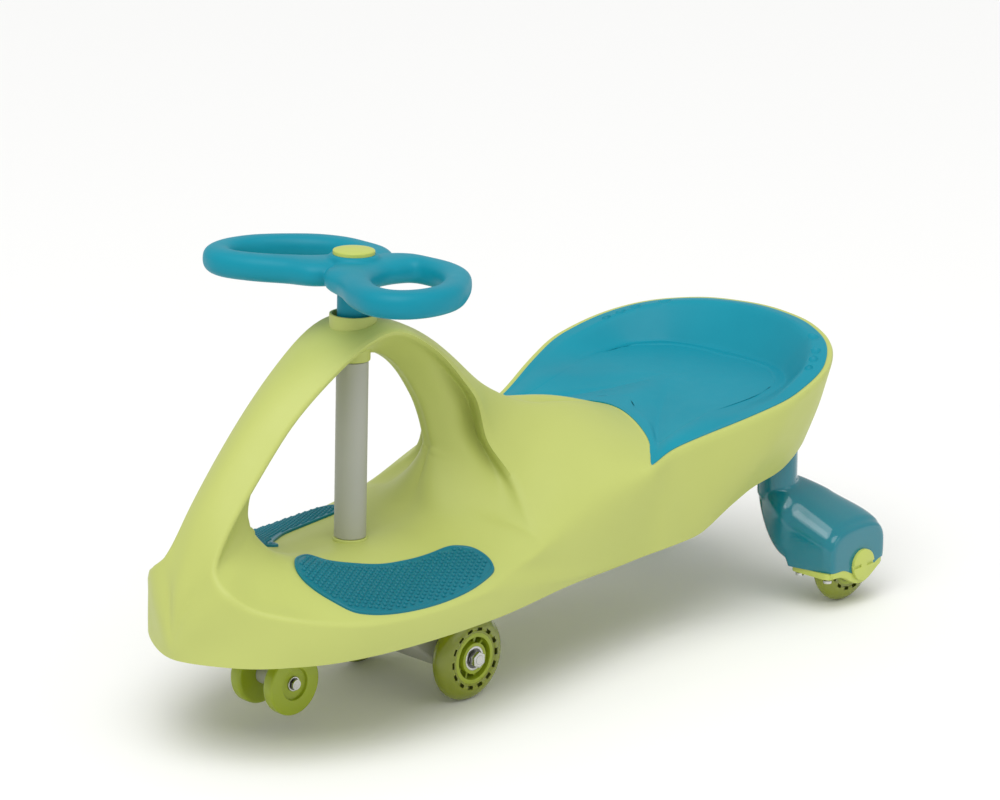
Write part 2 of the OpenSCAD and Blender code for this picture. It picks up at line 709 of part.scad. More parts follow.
module foot_pad(side) {
    outline = ring_curve([for (s = pad_shares) place([s.x, s.y, 0])], net_steps);
    color(teal) on_side(side) intersection() {
        deck_slice();
        linear_extrude(height = arch_h) polygon([for (p = outline) [p.x, p.y]]);
    }
}

module upper_bush() {
    color(grey) on_axis(collar_low_h)
        tube(bush_top_h - collar_low_h, bush_d, shaft_d + 2 * fit_gap);
}

module lower_bush() {
    color(grey) on_axis(ring_low_h)
        tube(ring_top_h - ring_low_h, bush_d, shaft_d + 2 * fit_gap);
}

// mudguard sections: rounded rectangles that change from the post outward
function guard_power(s) = s < 0 ? guard_low_square_share : guard_square_share;
function guard_section(g) = [for (i = [0 : guard_points - 1])
    let (a = 360 * i / guard_points, c = cos(a), s = sin(a), p = guard_power(s),
        y = mix(g[1], g[2], (1 + sign(c) * pow(abs(c), p)) / 2) * guard_len,
        z = mix(g[3], g[4], (1 + sign(s) * pow(abs(s), p)) / 2) * guard_h)
    [guard_in_x + g[0] * guard_w, rear_axle_y + y, z]];

module mudguard() {
    last = len(guard_shares) - 1;
    polyhedron(
        points = [for (g = guard_shares) each guard_section(g)],
        faces = [
            [for (i = [0 : guard_points - 1]) i],
            [for (i = [guard_points - 1 : -1 : 0]) last * guard_points + i],
            for (r = [0 : last - 1], i = [0 : guard_points - 1])
                let (a = r * guard_points + i, b = r * guard_points + (i + 1) % guard_points)
                each [[a, a + guard_points, b + guard_points], [a, b + guard_points, b]]
        ],
        convexity = 4);
}

module at_rear_axle() {
    translate([rear_half_track, rear_axle_y, axle_h]) children();
}

module wheel_well() {
    well_r = wheel_r + well_gap;
    at_rear_axle() across(-well_half_w) cylinder(h = 2 * well_half_w, r = well_r);
    at_rear_axle() translate([-well_half_w, -well_r, -axle_h]) cube([2 * well_half_w, 2 * well_r, axle_h]);
}

module rear_leg(side) {
    color(teal) on_side(side) difference() {
        union() {
            mudguard();
            at_post(base_top_h + guard_h / 2) cylinder(h = post_top_h - base_top_h - guard_h / 2, d = post_d);
        }
        wheel_well();
        at_post(post_top_h - bolt_len + bolt_head_h) cylinder(h = bolt_len, d = bolt_d + 2 * fit_gap);
        base_screw_places() translate([0, 0, base_top_h - overrun])
            cylinder(h = base_screw_len - base_t + 2 * overrun, d = base_screw_d + 2 * fit_gap);
        at_rear_axle() across(-guard_w) cylinder(h = 2 * guard_w, d = axle_d + 2 * fit_gap);
        at_rear_axle() across(-guard_w)
            cylinder(h = guard_w + base_in_x - rear_half_track, d = axle_head_d + 2 * axle_head_room);
    }
}

module base_screw_places() {
    for (x = [base_in_x + base_screw_inset, guard_out_x - base_screw_inset])
        translate([x, base_front_y + base_screw_inset, 0]) children();
}

module rear_base(side) {
    base_w = guard_out_x - base_in_x;
    color(lime) on_side(side) difference() {
        union() {
            translate([base_in_x, base_front_y, base_low_h])
                cube([base_w, base_rear_y - base_front_y, base_t]);
            at_rear_axle() across(base_in_x - rear_half_track) cylinder(h = base_w, r = base_boss_r);
        }
        translate([base_in_x - overrun, base_front_y - overrun, base_top_h])
            cube([base_w + 2 * overrun, base_rear_y - base_front_y + 2 * overrun, guard_h]);
        difference() {
            wheel_well();
            at_rear_axle() across(-well_half_w) cylinder(h = 2 * well_half_w, r = collar_r);
        }
        at_rear_axle() across(-hub_half_w - run_gap) cylinder(h = 2 * (hub_half_w + run_gap), r = wheel_r);
        at_rear_axle() across(base_in_x - rear_half_track - overrun)
            cylinder(h = base_w + 2 * overrun, d = axle_d + 2 * fit_gap);
        base_screw_places() translate([0, 0, base_low_h - overrun])
            cylinder(h = base_t + 2 * overrun, d = base_screw_d + 2 * fit_gap);
    }
}

module rear_axle(side) {
    axle_len = guard_out_x + axle_cap_bore - base_in_x;
    color(steel) on_side(side) translate([base_in_x, rear_axle_y, axle_h]) {
        across(-axle_head_w) cylinder(h = axle_head_w, d = axle_head_d);
        across(0) cylinder(h = axle_len - fit_gap, d = axle_d);
    }
}

module rear_cap(side) {
    color(lime) on_side(side) translate([guard_out_x, rear_axle_y, axle_h]) difference() {
        across(0) cylinder(h = axle_cap_t, r = axle_cap_r);
        across(-overrun) cylinder(h = axle_cap_bore + overrun, d = axle_d + 2 * fit_gap);
        difference() {
            translate([axle_cap_t - cap_slot_depth, -axle_cap_r - overrun, -cap_slot_w / 2])
                cube([cap_slot_depth + overrun, 2 * (axle_cap_r + overrun), cap_slot_w]);
            across(0) cylinder(h = axle_cap_t, r = axle_cap_boss_r);
        }
    }
}

module leg_bolts() {
    color(steel) on_both_sides() {
        at_post(bolt_seat_h) cylinder(h = bolt_head_h, d = bolt_head_d);
        at_post(bolt_seat_h + bolt_head_h - bolt_len) cylinder(h = bolt_len - bolt_head_h, d = bolt_d);
    }
}

module base_screws() {
    color(steel) on_both_sides() base_screw_places() {
        translate([0, 0, base_low_h - base_head_h]) cylinder(h = base_head_h, d = base_head_d);
        translate([0, 0, base_low_h]) cylinder(h = base_screw_len, d = base_screw_d);
    }
}

// steering wheel: two hand loops between their outer edge and their hole, joined at a round hub
grip_steps = 3;
grip_points = 12;
grip_square_share = 0.8;
function rounded(v) = sign(v) * pow(abs(v), grip_square_share);
function loop_edge(shares) =
    ring_curve([for (s = shares) [s.x * rim_half_w, s.y * rim_depth, 0]], grip_steps);

module hand_loop() {
    outer_edge = loop_edge(loop_shares);
    hole_edge = loop_edge(hole_shares);
    count = len(outer_edge);
    rows = [for (i = [0 : grip_points]) [for (k = [0 : count])
        let (a = 360 * (i % grip_points) / grip_points, o = outer_edge[k % count], h = hole_edge[k % count])
        mix(h, o, (1 + rounded(cos(a))) / 2) + up * rounded(sin(a)) * grip_h / 2]];
    solid_of([[rows, false]]);
}

module steering_wheel() {
    stub_low_h = collar_top_h - stub_entry;
    grip_mid_h = hub_top_h - grip_drop - grip_h / 2;
    color(teal) difference() {
        union() {
            on_both_sides() on_axis(grip_mid_h) hand_loop();
            on_axis(hub_low_h) cylinder(h = hub_h, r = hub_r_wheel);
            on_axis(stub_low_h) cylinder(h = hub_low_h - stub_low_h + hub_h / 2, d = stub_d);
        }
        on_axis(stub_low_h - overrun)
            cylinder(h = hub_top_h - stub_low_h + 2 * overrun, d = shaft_d + 2 * fit_gap);
        on_axis(nut_low_h) cylinder(h = nut_depth + overrun, d = nut_pocket_d);
    }
}

module steering_cap() {
    cap_r = cap_d / 2;
    color(lime) on_axis(hub_top_h) rotate_extrude() polygon([
        [0, 0], [cap_r, 0], [cap_r, cap_h - 2 * cap_round], [cap_r - cap_round, cap_h - cap_round / 2],
        [cap_r / 2, cap_h], [0, cap_h]
    ]);
}

module steering_nut() {
    color(steel) on_axis(nut_low_h) difference() {
        cylinder(h = nut_h, d = nut_d, $fn = 6);
        translate([0, 0, -overrun]) cylinder(h = nut_h + 2 * overrun, d = shaft_d + 2 * fit_gap);
    }
}

module column_sleeve() {
    low_h = ring_top_h + run_gap;
    color(grey) on_axis(low_h)
        tube(collar_low_h - run_gap - low_h, sleeve_d, shaft_d + 2 * fit_gap);
}

module yoke_pin_bore(extra) {
    across(-pin_len / 2 - extra) cylinder(h = pin_len + 2 * extra, d = pin_d + 2 * fit_gap);
}

module steering_shaft() {
    color(steel) difference() {
        on_axis(shaft_low_h) cylinder(h = shaft_top_h - shaft_low_h, d = shaft_d);
        on_axis(yoke_low_h + yoke_h / 2) yoke_pin_bore(overrun);
    }
}

module at_front_axle() {
    translate([0, front_trail, axle_h]) children();
}

module at_tip_axle() {
    translate([0, -tip_reach, tip_axle_h]) children();
}

module yoke_slice() {
    on_axis(yoke_low_h) cylinder(h = arm_slice_h, d = arm_slice_d, $fn = 32);
}

module steering_yoke() {
    journal_len = front_half_track - hub_half_w - run_gap;
    color(grey) difference() {
        union() {
            on_axis(yoke_low_h) cylinder(h = yoke_h, d = yoke_d);
            hull() {
                yoke_slice();
                at_front_axle() across(-housing_half_w)
                    cylinder(h = 2 * housing_half_w, r = housing_r, $fn = 32);
            }
            at_front_axle() across(-journal_len) cylinder(h = 2 * journal_len, r = collar_r);
            hull() {
                yoke_slice();
                yoke_knee();
            }
            hull() {
                yoke_knee();
                at_tip_axle() across(-tip_arm_half_w)
                    cylinder(h = 2 * tip_arm_half_w, r = tip_boss_r, $fn = 32);
            }
            at_tip_axle() across(-tip_boss_half_w) cylinder(h = 2 * tip_boss_half_w, r = tip_boss_r);
        }
        on_axis(shaft_low_h - overrun)
            cylinder(h = yoke_top_h - shaft_low_h + 2 * overrun, d = shaft_d + 2 * fit_gap);
        on_axis(yoke_low_h + yoke_h / 2) yoke_pin_bore(0);
        at_front_axle() across(-journal_len - overrun)
            cylinder(h = 2 * (journal_len + overrun), d = axle_d + 2 * fit_gap);
        at_tip_axle() across(-tip_boss_half_w - overrun)
            cylinder(h = 2 * (tip_boss_half_w + overrun), d = tip_axle_d + 2 * fit_gap);
    }
}

module yoke_knee() {
    knee_h = mix(tip_axle_h, yoke_low_h, knee_h_share);
    translate([0, -tip_reach * knee_y_share, knee_h]) across(-tip_arm_half_w)
        cylinder(h = 2 * tip_arm_half_w, r = knee_r, $fn = 32);
}

module yoke_pin() {
    color(steel) on_axis(yoke_low_h + yoke_h / 2) across(-pin_len / 2) cylinder(h = pin_len, d = pin_d);
}

module thrust_washer() {
    color(steel) on_axis(yoke_top_h) tube(washer_t, washer_d, shaft_d + 2 * fit_gap);
}

front_axle_half = front_half_track + hub_half_w + run_gap + axle_nut_w;

module front_axle() {
    color(steel) at_front_axle() across(-front_axle_half) cylinder(h = 2 * front_axle_half, d = axle_d);
}

module front_axle_nuts() {
    color(steel) on_both_sides() at_front_axle() across(front_axle_half - axle_nut_w) difference() {
        cylinder(h = axle_nut_w, d = axle_nut_d, $fn = 6);
        translate([0, 0, -overrun]) cylinder(h = axle_nut_w + 2 * overrun, d = axle_d + 2 * fit_gap);
    }
}

tip_in_x = tip_boss_half_w + run_gap;
tip_axle_half = tip_in_x + tip_w + run_gap + clip_t;

module tip_axle() {
    color(steel) at_tip_axle() across(-tip_axle_half) cylinder(h = 2 * tip_axle_half, d = tip_axle_d);
}

module tip_axle_clips() {
    color(steel) on_both_sides() at_tip_axle() across(tip_axle_half - clip_t)
        tube(clip_t, clip_d, tip_axle_d + 2 * fit_gap);
}

// one road wheel, with its middle at the origin and its axle along Z
module tyre() {
    half_w = tyre_w / 2;
    inner_r = hub_r + fit_gap;
    tread_root_r = wheel_r * tread_root_share;
    color(clear_lime) difference() {
        rotate_extrude() polygon([
            [inner_r, -hub_half_w], [hub_r + slot_margin, -hub_half_w],
            for (i = [-tread_steps : tread_steps])
                let (a = 90 * i / tread_steps)
                [tread_root_r + (wheel_r - tread_root_r) * pow(cos(a), tread_crown), half_w * sin(a)],
            [hub_r + slot_margin, hub_half_w], [inner_r, hub_half_w]
        ]);
        for (side = [0, 1]) mirror([0, 0, side]) translate([0, 0, hub_half_w - slot_depth])
            linear_extrude(height = slot_depth + overrun + hub_inset)
            for (i = [0 : slot_count - 1]) rotate(360 * i / slot_count)
                translate([slot_ring_r - slot_w / 2, -slot_len / 2]) square([slot_w, slot_len]);
    }
}

module wheel_hub() {
    boss_r = bearing_d / 2 + fit_gap + boss_wall;
    seat_gap = 2 * (hub_half_w - bearing_w);
    color(lime) difference() {
        union() {
            translate([0, 0, -hub_half_w]) tube(2 * hub_half_w, 2 * hub_r, 2 * (hub_r - rim_t));
            translate([0, 0, -hub_half_w]) cylinder(h = 2 * hub_half_w, r = boss_r);
            translate([0, 0, -web_t / 2]) linear_extrude(height = web_t)
                for (i = [0 : spoke_pairs - 1], turn = [-1, 1])
                    rotate(360 * i / spoke_pairs + turn * spoke_spread_angle)
                    translate([0, -spoke_t / 2]) square([hub_r - rim_t / 2, spoke_t]);
        }
        for (side = [0, 1]) mirror([0, 0, side]) translate([0, 0, seat_gap / 2])
            cylinder(h = bearing_w + overrun, d = bearing_d + 2 * fit_gap);
        translate([0, 0, -hub_half_w]) cylinder(h = 2 * hub_half_w, d = bearing_d - 2 * race_wall);
    }
}

module bearing_pair() {
    seat_gap = 2 * (hub_half_w - bearing_w);
    outer_r = bearing_d / 2;
    inner_r = bearing_inner_d / 2;
    color(steel) for (side = [0, 1]) mirror([0, 0, side]) translate([0, 0, seat_gap / 2])
        rotate_extrude() polygon([
            [inner_r, 0], [outer_r, 0], [outer_r, bearing_w], [outer_r - race_wall, bearing_w],
            [outer_r - race_wall, bearing_w - shield_dip], [inner_r + race_wall, bearing_w - shield_dip],
            [inner_r + race_wall, bearing_w], [inner_r, bearing_w]
        ]);
}

module bearing_spacer() {
    seat_gap = 2 * (hub_half_w - bearing_w);
    color(steel) translate([0, 0, -seat_gap / 2])
        tube(seat_gap, bearing_inner_d + 2 * spacer_wall, bearing_inner_d);
}

module wheel_place(x, y) {
    translate([x, y, axle_h]) rotate([0, 90, 0]) children();
}

module tip_wheel_place(side) {
    on_side(side) at_tip_axle() across(tip_in_x) children();
}

module tip_wheel(side) {
    bore_r = tip_bearing_d / 2 + fit_gap;
    color(clear_lime) tip_wheel_place(side) rotate_extrude() polygon([
        [bore_r, 0], [tip_r - tip_round, 0], [tip_r, tip_round],
        [tip_r, tip_w - tip_round], [tip_r - tip_round, tip_w],
        [tip_recess_r, tip_w], [tip_recess_r, tip_w - tip_recess], [bore_r, tip_w - tip_recess]
    ]);
}

module tip_bearing(side) {
    color(steel) tip_wheel_place(side) tube(tip_w, tip_bearing_d, tip_axle_d + 2 * fit_gap);
}

module in_frame() {
    translate([0, -middle_y, 0]) children();
}

in_frame() {
    body_shell();
    seat_cover();
    seat_screws();
    foot_pad("left");  // foot_pad_left
    foot_pad("right");  // foot_pad_right
    upper_bush();
    lower_bush();
    rear_leg("left");  // rear_leg_left
    rear_leg("right");  // rear_leg_right
    rear_base("left");  // rear_base_left
    rear_base("right");  // rear_base_right
    rear_axle("left");  // rear_axle_left
    rear_axle("right");  // rear_axle_right
    rear_cap("left");  // rear_cap_left
    rear_cap("right");  // rear_cap_right
    leg_bolts();
    base_screws();
    steering_wheel();
    steering_cap();
    steering_nut();
    column_sleeve();
    steering_shaft();
    steering_yoke();
    yoke_pin();
    thrust_washer();
    front_axle();
    front_axle_nuts();
    tip_axle();
    tip_axle_clips();
    wheel_place(front_half_track, front_trail) tyre();  // front_left_tyre
    wheel_place(front_half_track, front_trail) wheel_hub();  // front_left_hub
    wheel_place(front_half_track, front_trail) bearing_pair();  // front_left_bearings
    wheel_place(front_half_track, front_trail) bearing_spacer();  // front_left_spacer
    wheel_place(-front_half_track, front_trail) tyre();  // front_right_tyre
    wheel_place(-front_half_track, front_trail) wheel_hub();  // front_right_hub
    wheel_place(-front_half_track, front_trail) bearing_pair();  // front_right_bearings
    wheel_place(-front_half_track, front_trail) bearing_spacer();  // front_right_spacer
    wheel_place(rear_half_track, rear_axle_y) tyre();  // rear_left_tyre
    wheel_place(rear_half_track, rear_axle_y) wheel_hub();  // rear_left_hub
    wheel_place(rear_half_track, rear_axle_y) bearing_pair();  // rear_left_bearings
    wheel_place(rear_half_track, rear_axle_y) bearing_spacer();  // rear_left_spacer
    wheel_place(-rear_half_track, rear_axle_y) tyre();  // rear_right_tyre
    wheel_place(-rear_half_track, rear_axle_y) wheel_hub();  // rear_right_hub
    wheel_place(-rear_half_track, rear_axle_y) bearing_pair();  // rear_right_bearings
    wheel_place(-rear_half_track, rear_axle_y) bearing_spacer();  // rear_right_spacer
    tip_wheel("left");  // tip_wheel_left
    tip_wheel("right");  // tip_wheel_right
    tip_bearing("left");  // tip_bearing_left
    tip_bearing("right");  // tip_bearing_right
}
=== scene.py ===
"""Looks of the wiggle car: smooth mouldings, studded pads, wheels, finishes, light and camera."""
import math

import bmesh
import bpy
from mathutils import Matrix, Vector
from mathutils.bvhtree import BVHTree
from mathutils.geometry import delaunay_2d_cdt


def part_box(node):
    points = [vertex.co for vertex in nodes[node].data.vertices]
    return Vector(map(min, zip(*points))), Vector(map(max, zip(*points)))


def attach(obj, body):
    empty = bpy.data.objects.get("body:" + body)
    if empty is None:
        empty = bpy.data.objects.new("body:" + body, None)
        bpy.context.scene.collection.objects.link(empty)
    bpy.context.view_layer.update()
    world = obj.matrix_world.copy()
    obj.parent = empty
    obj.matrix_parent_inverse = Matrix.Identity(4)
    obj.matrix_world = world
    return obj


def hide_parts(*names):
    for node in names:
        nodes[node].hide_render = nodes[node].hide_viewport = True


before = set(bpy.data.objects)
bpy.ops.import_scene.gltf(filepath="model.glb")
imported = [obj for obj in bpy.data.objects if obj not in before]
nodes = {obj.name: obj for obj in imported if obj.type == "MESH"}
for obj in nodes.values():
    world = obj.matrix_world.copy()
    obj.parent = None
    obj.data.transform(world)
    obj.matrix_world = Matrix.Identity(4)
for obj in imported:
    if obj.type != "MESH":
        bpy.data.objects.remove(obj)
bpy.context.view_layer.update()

# sizes are in millimetres, in the source's own frame, whose Y starts at the steering axis
MM = 0.001
MIDDLE_Y = 175.0
HALF_W, BODY_LEN, ARCH_H, SETBACK = 150.0, 756.0, 342.0, 203.0
# points per span of the net, and its columns at the nose, the arch's top and the tongue's tip
NET_STEPS = 2
NOSE, ARCH_TOP, TONGUE = 9, 16, 22
RAKE = math.radians(2)
DECK_H = 0.436 * ARCH_H

# body's net: shares of half width, length and arch height, as in the part's source
# crease over the skirt, the nose and the arch
CREASE = [
    (0.760, 0.425, 0.411), (0.793, 0.374, 0.383), (0.850, 0.321, 0.365), (0.857, 0.269, 0.359),
    (0.847, 0.216, 0.360), (0.807, 0.156, 0.367), (0.711, 0.110, 0.380), (0.584, 0.072, 0.399),
    (0.434, 0.042, 0.421), (0.309, 0.025, 0.458), (0.213, 0.025, 0.491), (0.173, 0.034, 0.532),
    (0.167, 0.058, 0.608), (0.173, 0.099, 0.713), (0.180, 0.149, 0.825), (0.207, 0.206, 0.920),
    (0.230, 0.258, 0.981), (0.240, 0.307, 0.988), (0.240, 0.362, 0.917), (0.234, 0.404, 0.827),
    (0.236, 0.431, 0.747), (0.264, 0.442, 0.643), (0.407, 0.455, 0.544), (0.618, 0.440, 0.460),
]
# outer edge: the seat's corner, the skirt's lower edge, the nose and the middle line of arch and hump
OUTER = [
    (0.751, 0.618, 0.523), (0.700, 0.618, 0.279), (0.747, 0.487, 0.284), (0.820, 0.368, 0.282),
    (0.840, 0.269, 0.284), (0.800, 0.183, 0.284), (0.711, 0.118, 0.282), (0.584, 0.073, 0.281),
    (0.382, 0.032, 0.278), (0.000, 0.000, 0.278), (0.000, 0.004, 0.380), (0.000, 0.013, 0.468),
    (0.000, 0.045, 0.611), (0.000, 0.086, 0.731), (0.000, 0.139, 0.848), (0.000, 0.200, 0.940),
    (0.000, 0.258, 0.997), (0.000, 0.313, 1.000), (0.000, 0.380, 0.930), (0.000, 0.433, 0.830),
    (0.000, 0.485, 0.725), (0.000, 0.586, 0.640), (0.000, 0.701, 0.585), (0.440, 0.669, 0.564),
]
# inner edge beside the column
CHEEK = [
    (0.187, 0.368, 0.477), (0.200, 0.341, 0.447), (0.200, 0.308, 0.439), (0.200, 0.269, 0.436),
    (0.200, 0.229, 0.436), (0.187, 0.192, 0.442), (0.160, 0.160, 0.456), (0.127, 0.131, 0.482),
    (0.093, 0.116, 0.512), (0.060, 0.108, 0.541), (0.047, 0.103, 0.573), (0.040, 0.102, 0.608),
    (0.033, 0.110, 0.658), (0.033, 0.131, 0.719), (0.033, 0.168, 0.795), (0.033, 0.216, 0.868),
    (0.033, 0.266, 0.924), (0.033, 0.308, 0.925), (0.033, 0.344, 0.873), (0.033, 0.370, 0.798),
    (0.033, 0.386, 0.731), (0.033, 0.397, 0.649), (0.053, 0.397, 0.602), (0.107, 0.384, 0.538),
]
# swell of the skin between crease and outer edge, then pinch and rise between crease and cheek
SWELL = [
    (-0.027, 0, 0), (0.007, 0, 0), (0.013, 0, 0), (0.013, 0, 0), (0.010, 0, 0), (0.010, 0, 0),
    (0.010, 0, 0), (0.010, 0, 0), (0, 0, 0), (0, -0.005, 0), (0, 0, 0), (0, -0.001, 0),
    (0, -0.002, 0.003), (0, -0.002, 0.004), (0, -0.002, 0.005), (0, -0.001, 0.005),
    (0, 0, 0.004), (0, 0, 0.004), (0, 0.001, 0.006), (0, 0.001, 0.015),
    (0, 0, 0.029), (0, 0, 0.038), (0, 0, 0.067), (0, 0, 0.047),
]
PINCH = [0] * 18 + [-0.020, -0.060, -0.080, -0.093, -0.040, 0]
RISE = [0.009] * 7 + [-0.006] * 2 + [0] * 13 + [-0.012, -0.015]
PINCH_LEFT, PINCH_TURN = 0.3, -0.2
SKIN_ROWS, SIDE_ROWS = (0.333, 0.667), (0.2, 0.5)
# seat's rim and the tail's lower edge
RIM = [
    (0.751, 0.618, 0.523), (0.783, 0.679, 0.557), (0.893, 0.742, 0.592), (0.987, 0.804, 0.626),
    (0.997, 0.844, 0.648), (0.947, 0.894, 0.675), (0.827, 0.934, 0.699), (0.667, 0.963, 0.715),
    (0.440, 0.985, 0.728), (0.220, 0.996, 0.733), (0.000, 1.000, 0.735),
]
SILL = [
    (0.700, 0.618, 0.279), (0.713, 0.672, 0.284), (0.733, 0.714, 0.298), (0.753, 0.755, 0.344),
    (0.760, 0.802, 0.383), (0.747, 0.856, 0.401), (0.713, 0.901, 0.439), (0.647, 0.930, 0.477),
    (0.440, 0.956, 0.500), (0.220, 0.968, 0.509), (0.000, 0.971, 0.512),
]
TAIL_SWELL = 0.027
# seat: foot of its wall, places on the middle line, and width of its flat edge
FOOT = [
    (0.000, 0.721), (0.372, 0.693), (0.652, 0.652), (0.668, 0.692), (0.693, 0.745), (0.733, 0.798),
    (0.740, 0.840), (0.687, 0.885), (0.587, 0.909), (0.467, 0.925), (0.300, 0.934), (0.147, 0.938),
    (0.000, 0.939),
]
SPINE = [0.745, 0.768, 0.808, 0.822, 0.828, 0.833, 0.839, 0.848, 0.861, 0.874, 0.885, 0.892, 0.897]
FLANGE = [0.15, 0.15, 0.06, 0.22, 0.50, 0.75, 0.94, 1.00, 0.88, 0.75, 0.69, 0.63, 0.63]
FLANGE_W, FALL = 16.0, 0.6
# oval recesses in the seat's rim: column and half width, then place across the rim, depth and stretch
RECESSES = [(18, 6.6), (16, 5.8), (15, 5.0), (14, 4.2)]
RECESS_SHARE, RECESS_DEPTH, RECESS_LONG = 0.8, 2.6, 1.1
COVER_T, SEAT_LIP = 4.0, 3.0
BUCKET_DEPTH = 36.4
# outline of a foot pad in plan
PAD = [
    (0.158, 0.156), (0.121, 0.179), (0.226, 0.190), (0.319, 0.213), (0.399, 0.240), (0.440, 0.274),
    (0.457, 0.303), (0.463, 0.334), (0.501, 0.348), (0.565, 0.357), (0.660, 0.359), (0.741, 0.354),
    (0.787, 0.342), (0.830, 0.302), (0.842, 0.256), (0.832, 0.216), (0.803, 0.181), (0.757, 0.155),
    (0.688, 0.138), (0.548, 0.129), (0.419, 0.128), (0.322, 0.131), (0.237, 0.139),
]
# steering wheel's loop and hand hole, as shares of its half width and depth
LOOP = [
    (-0.06, 0.266), (0.07, 0.406), (0.28, 0.436), (0.49, 0.436), (0.69, 0.356), (0.86, 0.176),
    (0.98, -0.024), (1.00, -0.264), (0.91, -0.464), (0.72, -0.554), (0.49, -0.504), (0.25, -0.374),
    (0.04, -0.294), (-0.07, -0.054),
]
HOLE = [
    (0.25, 0.146), (0.28, 0.256), (0.37, 0.276), (0.50, 0.246), (0.64, 0.156), (0.75, 0.026),
    (0.82, -0.134), (0.81, -0.274), (0.73, -0.364), (0.61, -0.354), (0.46, -0.264), (0.35, -0.154),
    (0.28, -0.034), (0.25, 0.056),
]
RIM_HALF_W, RIM_DEPTH, GRIP_H = 134.0, 137.0, 24.0
HUB_LOW_H, HUB_TOP_H, GRIP_MID_H = 384.0, 405.0, 389.5
COLLAR_LOW_H, COLLAR_TOP_H, RING_LOW_H = 312.0, 353.0, DECK_H - 31
# mudguard's sections: place across, then front, back, low and high edge, as shares of its size
GUARD = [
    (0.00, -0.422, -0.231, 0.840, 0.975), (0.09, -0.497, -0.124, 0.689, 1.000),
    (0.24, -0.571, 0.024, 0.504, 0.983), (0.41, -0.614, 0.173, 0.387, 0.924),
    (0.57, -0.571, 0.290, 0.336, 0.849), (0.81, -0.518, 0.386, 0.336, 0.756),
    (1.00, -0.476, 0.386, 0.336, 0.672),
]
GUARD_W, GUARD_LEN, GUARD_H = 96.0, 94.0, 119.0
GUARD_IN_X, REAR_X, REAR_Y, AXLE_H = 67.05, 140.05, 509.644, 40.0
POST_X, POST_Y, POST_R = 85.05, 476.644, 19.0
WELL_R, WELL_HALF = 44.0, 14.5
FRONT_X, FRONT_Y = 67.8, 75.5
TIP_X, TIP_Y, TIP_H = 14.4, -91.0, 48.0
UP = Vector((0, 0, 1))
MIRROR_X = Matrix.Scale(-1, 4, Vector((1, 0, 0)))


# curves through chosen points
def place(s):
    """Point of the source's frame from its shares."""
    return Vector((s[0] * HALF_W, s[1] * BODY_LEN - SETBACK, s[2] * ARCH_H))


def stretch(s):
    return Vector((s[0] * HALF_W, s[1] * BODY_LEN, s[2] * ARCH_H))


def flip(p):
    return Vector((-p.x, p.y, p.z))


def bend(a, b, c, d, u):
    """Smooth curve from b to c, at share u."""
    return (2 * b + (c - a) * u + (2 * a - 5 * b + 4 * c - d) * u * u
            + (3 * b - a - 3 * c + d) * u * u * u) / 2


def power(v, p):
    return math.copysign(abs(v) ** p, v)


def beyond(end, near):
    """Point past an end: the mirror image on the middle line, else straight on."""
    return flip(near) if end.x == 0 and near.x != 0 else 2 * end - near


def ring_curve(points, steps, corners=()):
    count = len(points)
    out = []
    for i in range(count):
        b, c = points[i], points[(i + 1) % count]
        a = beyond(b, c) if i in corners else points[i - 1]
        d = beyond(c, b) if (i + 1) % count in corners else points[(i + 2) % count]
        out += [bend(a, b, c, d, s / steps) for s in range(steps)]
    return out


def tail_curve(points, steps):
    last = len(points) - 2
    out = []
    for i in range(last + 1):
        b, c = points[i], points[i + 1]
        a = 2 * b - c if i == 0 else points[i - 1]
        d = flip(b) if i == last else points[i + 2]
        out += [bend(a, b, c, d, s / steps) for s in range(steps)]
    return out + [points[-1].copy()]


def to_frame(p):
    return Vector((p.x * MM, (p.y - MIDDLE_Y) * MM, p.z * MM))


# grids of the body
crease = [place(s) for s in CREASE]
outer = [place(s) for s in OUTER]
cheek = [place(s) for s in CHEEK]


def between(k, t):
    return crease[k].lerp(outer[k], t) + stretch(SWELL[k])


def beside(k, t, left):
    pinch = PINCH[k] * left
    return crease[k].lerp(cheek[k], t) + stretch((pinch, pinch * PINCH_TURN, RISE[k]))


# rows of the front grid that hold the crease and the cheek
CREASE_ROW, CHEEK_ROW = 3, 6


def front_grid():
    count = range(len(crease))
    net = [
        outer,
        [between(k, SKIN_ROWS[1]) for k in count],
        [between(k, SKIN_ROWS[0]) for k in count],
        crease,
        [beside(k, SIDE_ROWS[0], 1) for k in count],
        [beside(k, SIDE_ROWS[1], PINCH_LEFT) for k in count],
        cheek,
        [Vector((0, p.y, p.z)) for p in cheek],
    ]
    corners = (0, 1, NOSE, TONGUE)
    return [ring_curve(row, NET_STEPS, corners if r == 0 else ()) for r, row in enumerate(net)]


def tail_grid():
    rim = tail_curve([place(s) for s in RIM], NET_STEPS)
    sill = tail_curve([place(s) for s in SILL], NET_STEPS)
    rows = []
    for u in range(NET_STEPS + 1):
        t = u / NET_STEPS
        row = []
        for j, (a, b) in enumerate(zip(rim, sill)):
            p = a.lerp(b, t)
            if abs(p.x) > 1e-6:
                p.x += TAIL_SWELL * HALF_W * math.sin(math.pi * t) * min(1, j / (2 * NET_STEPS))
            row.append(p)
        rows.append(row)
    return rows


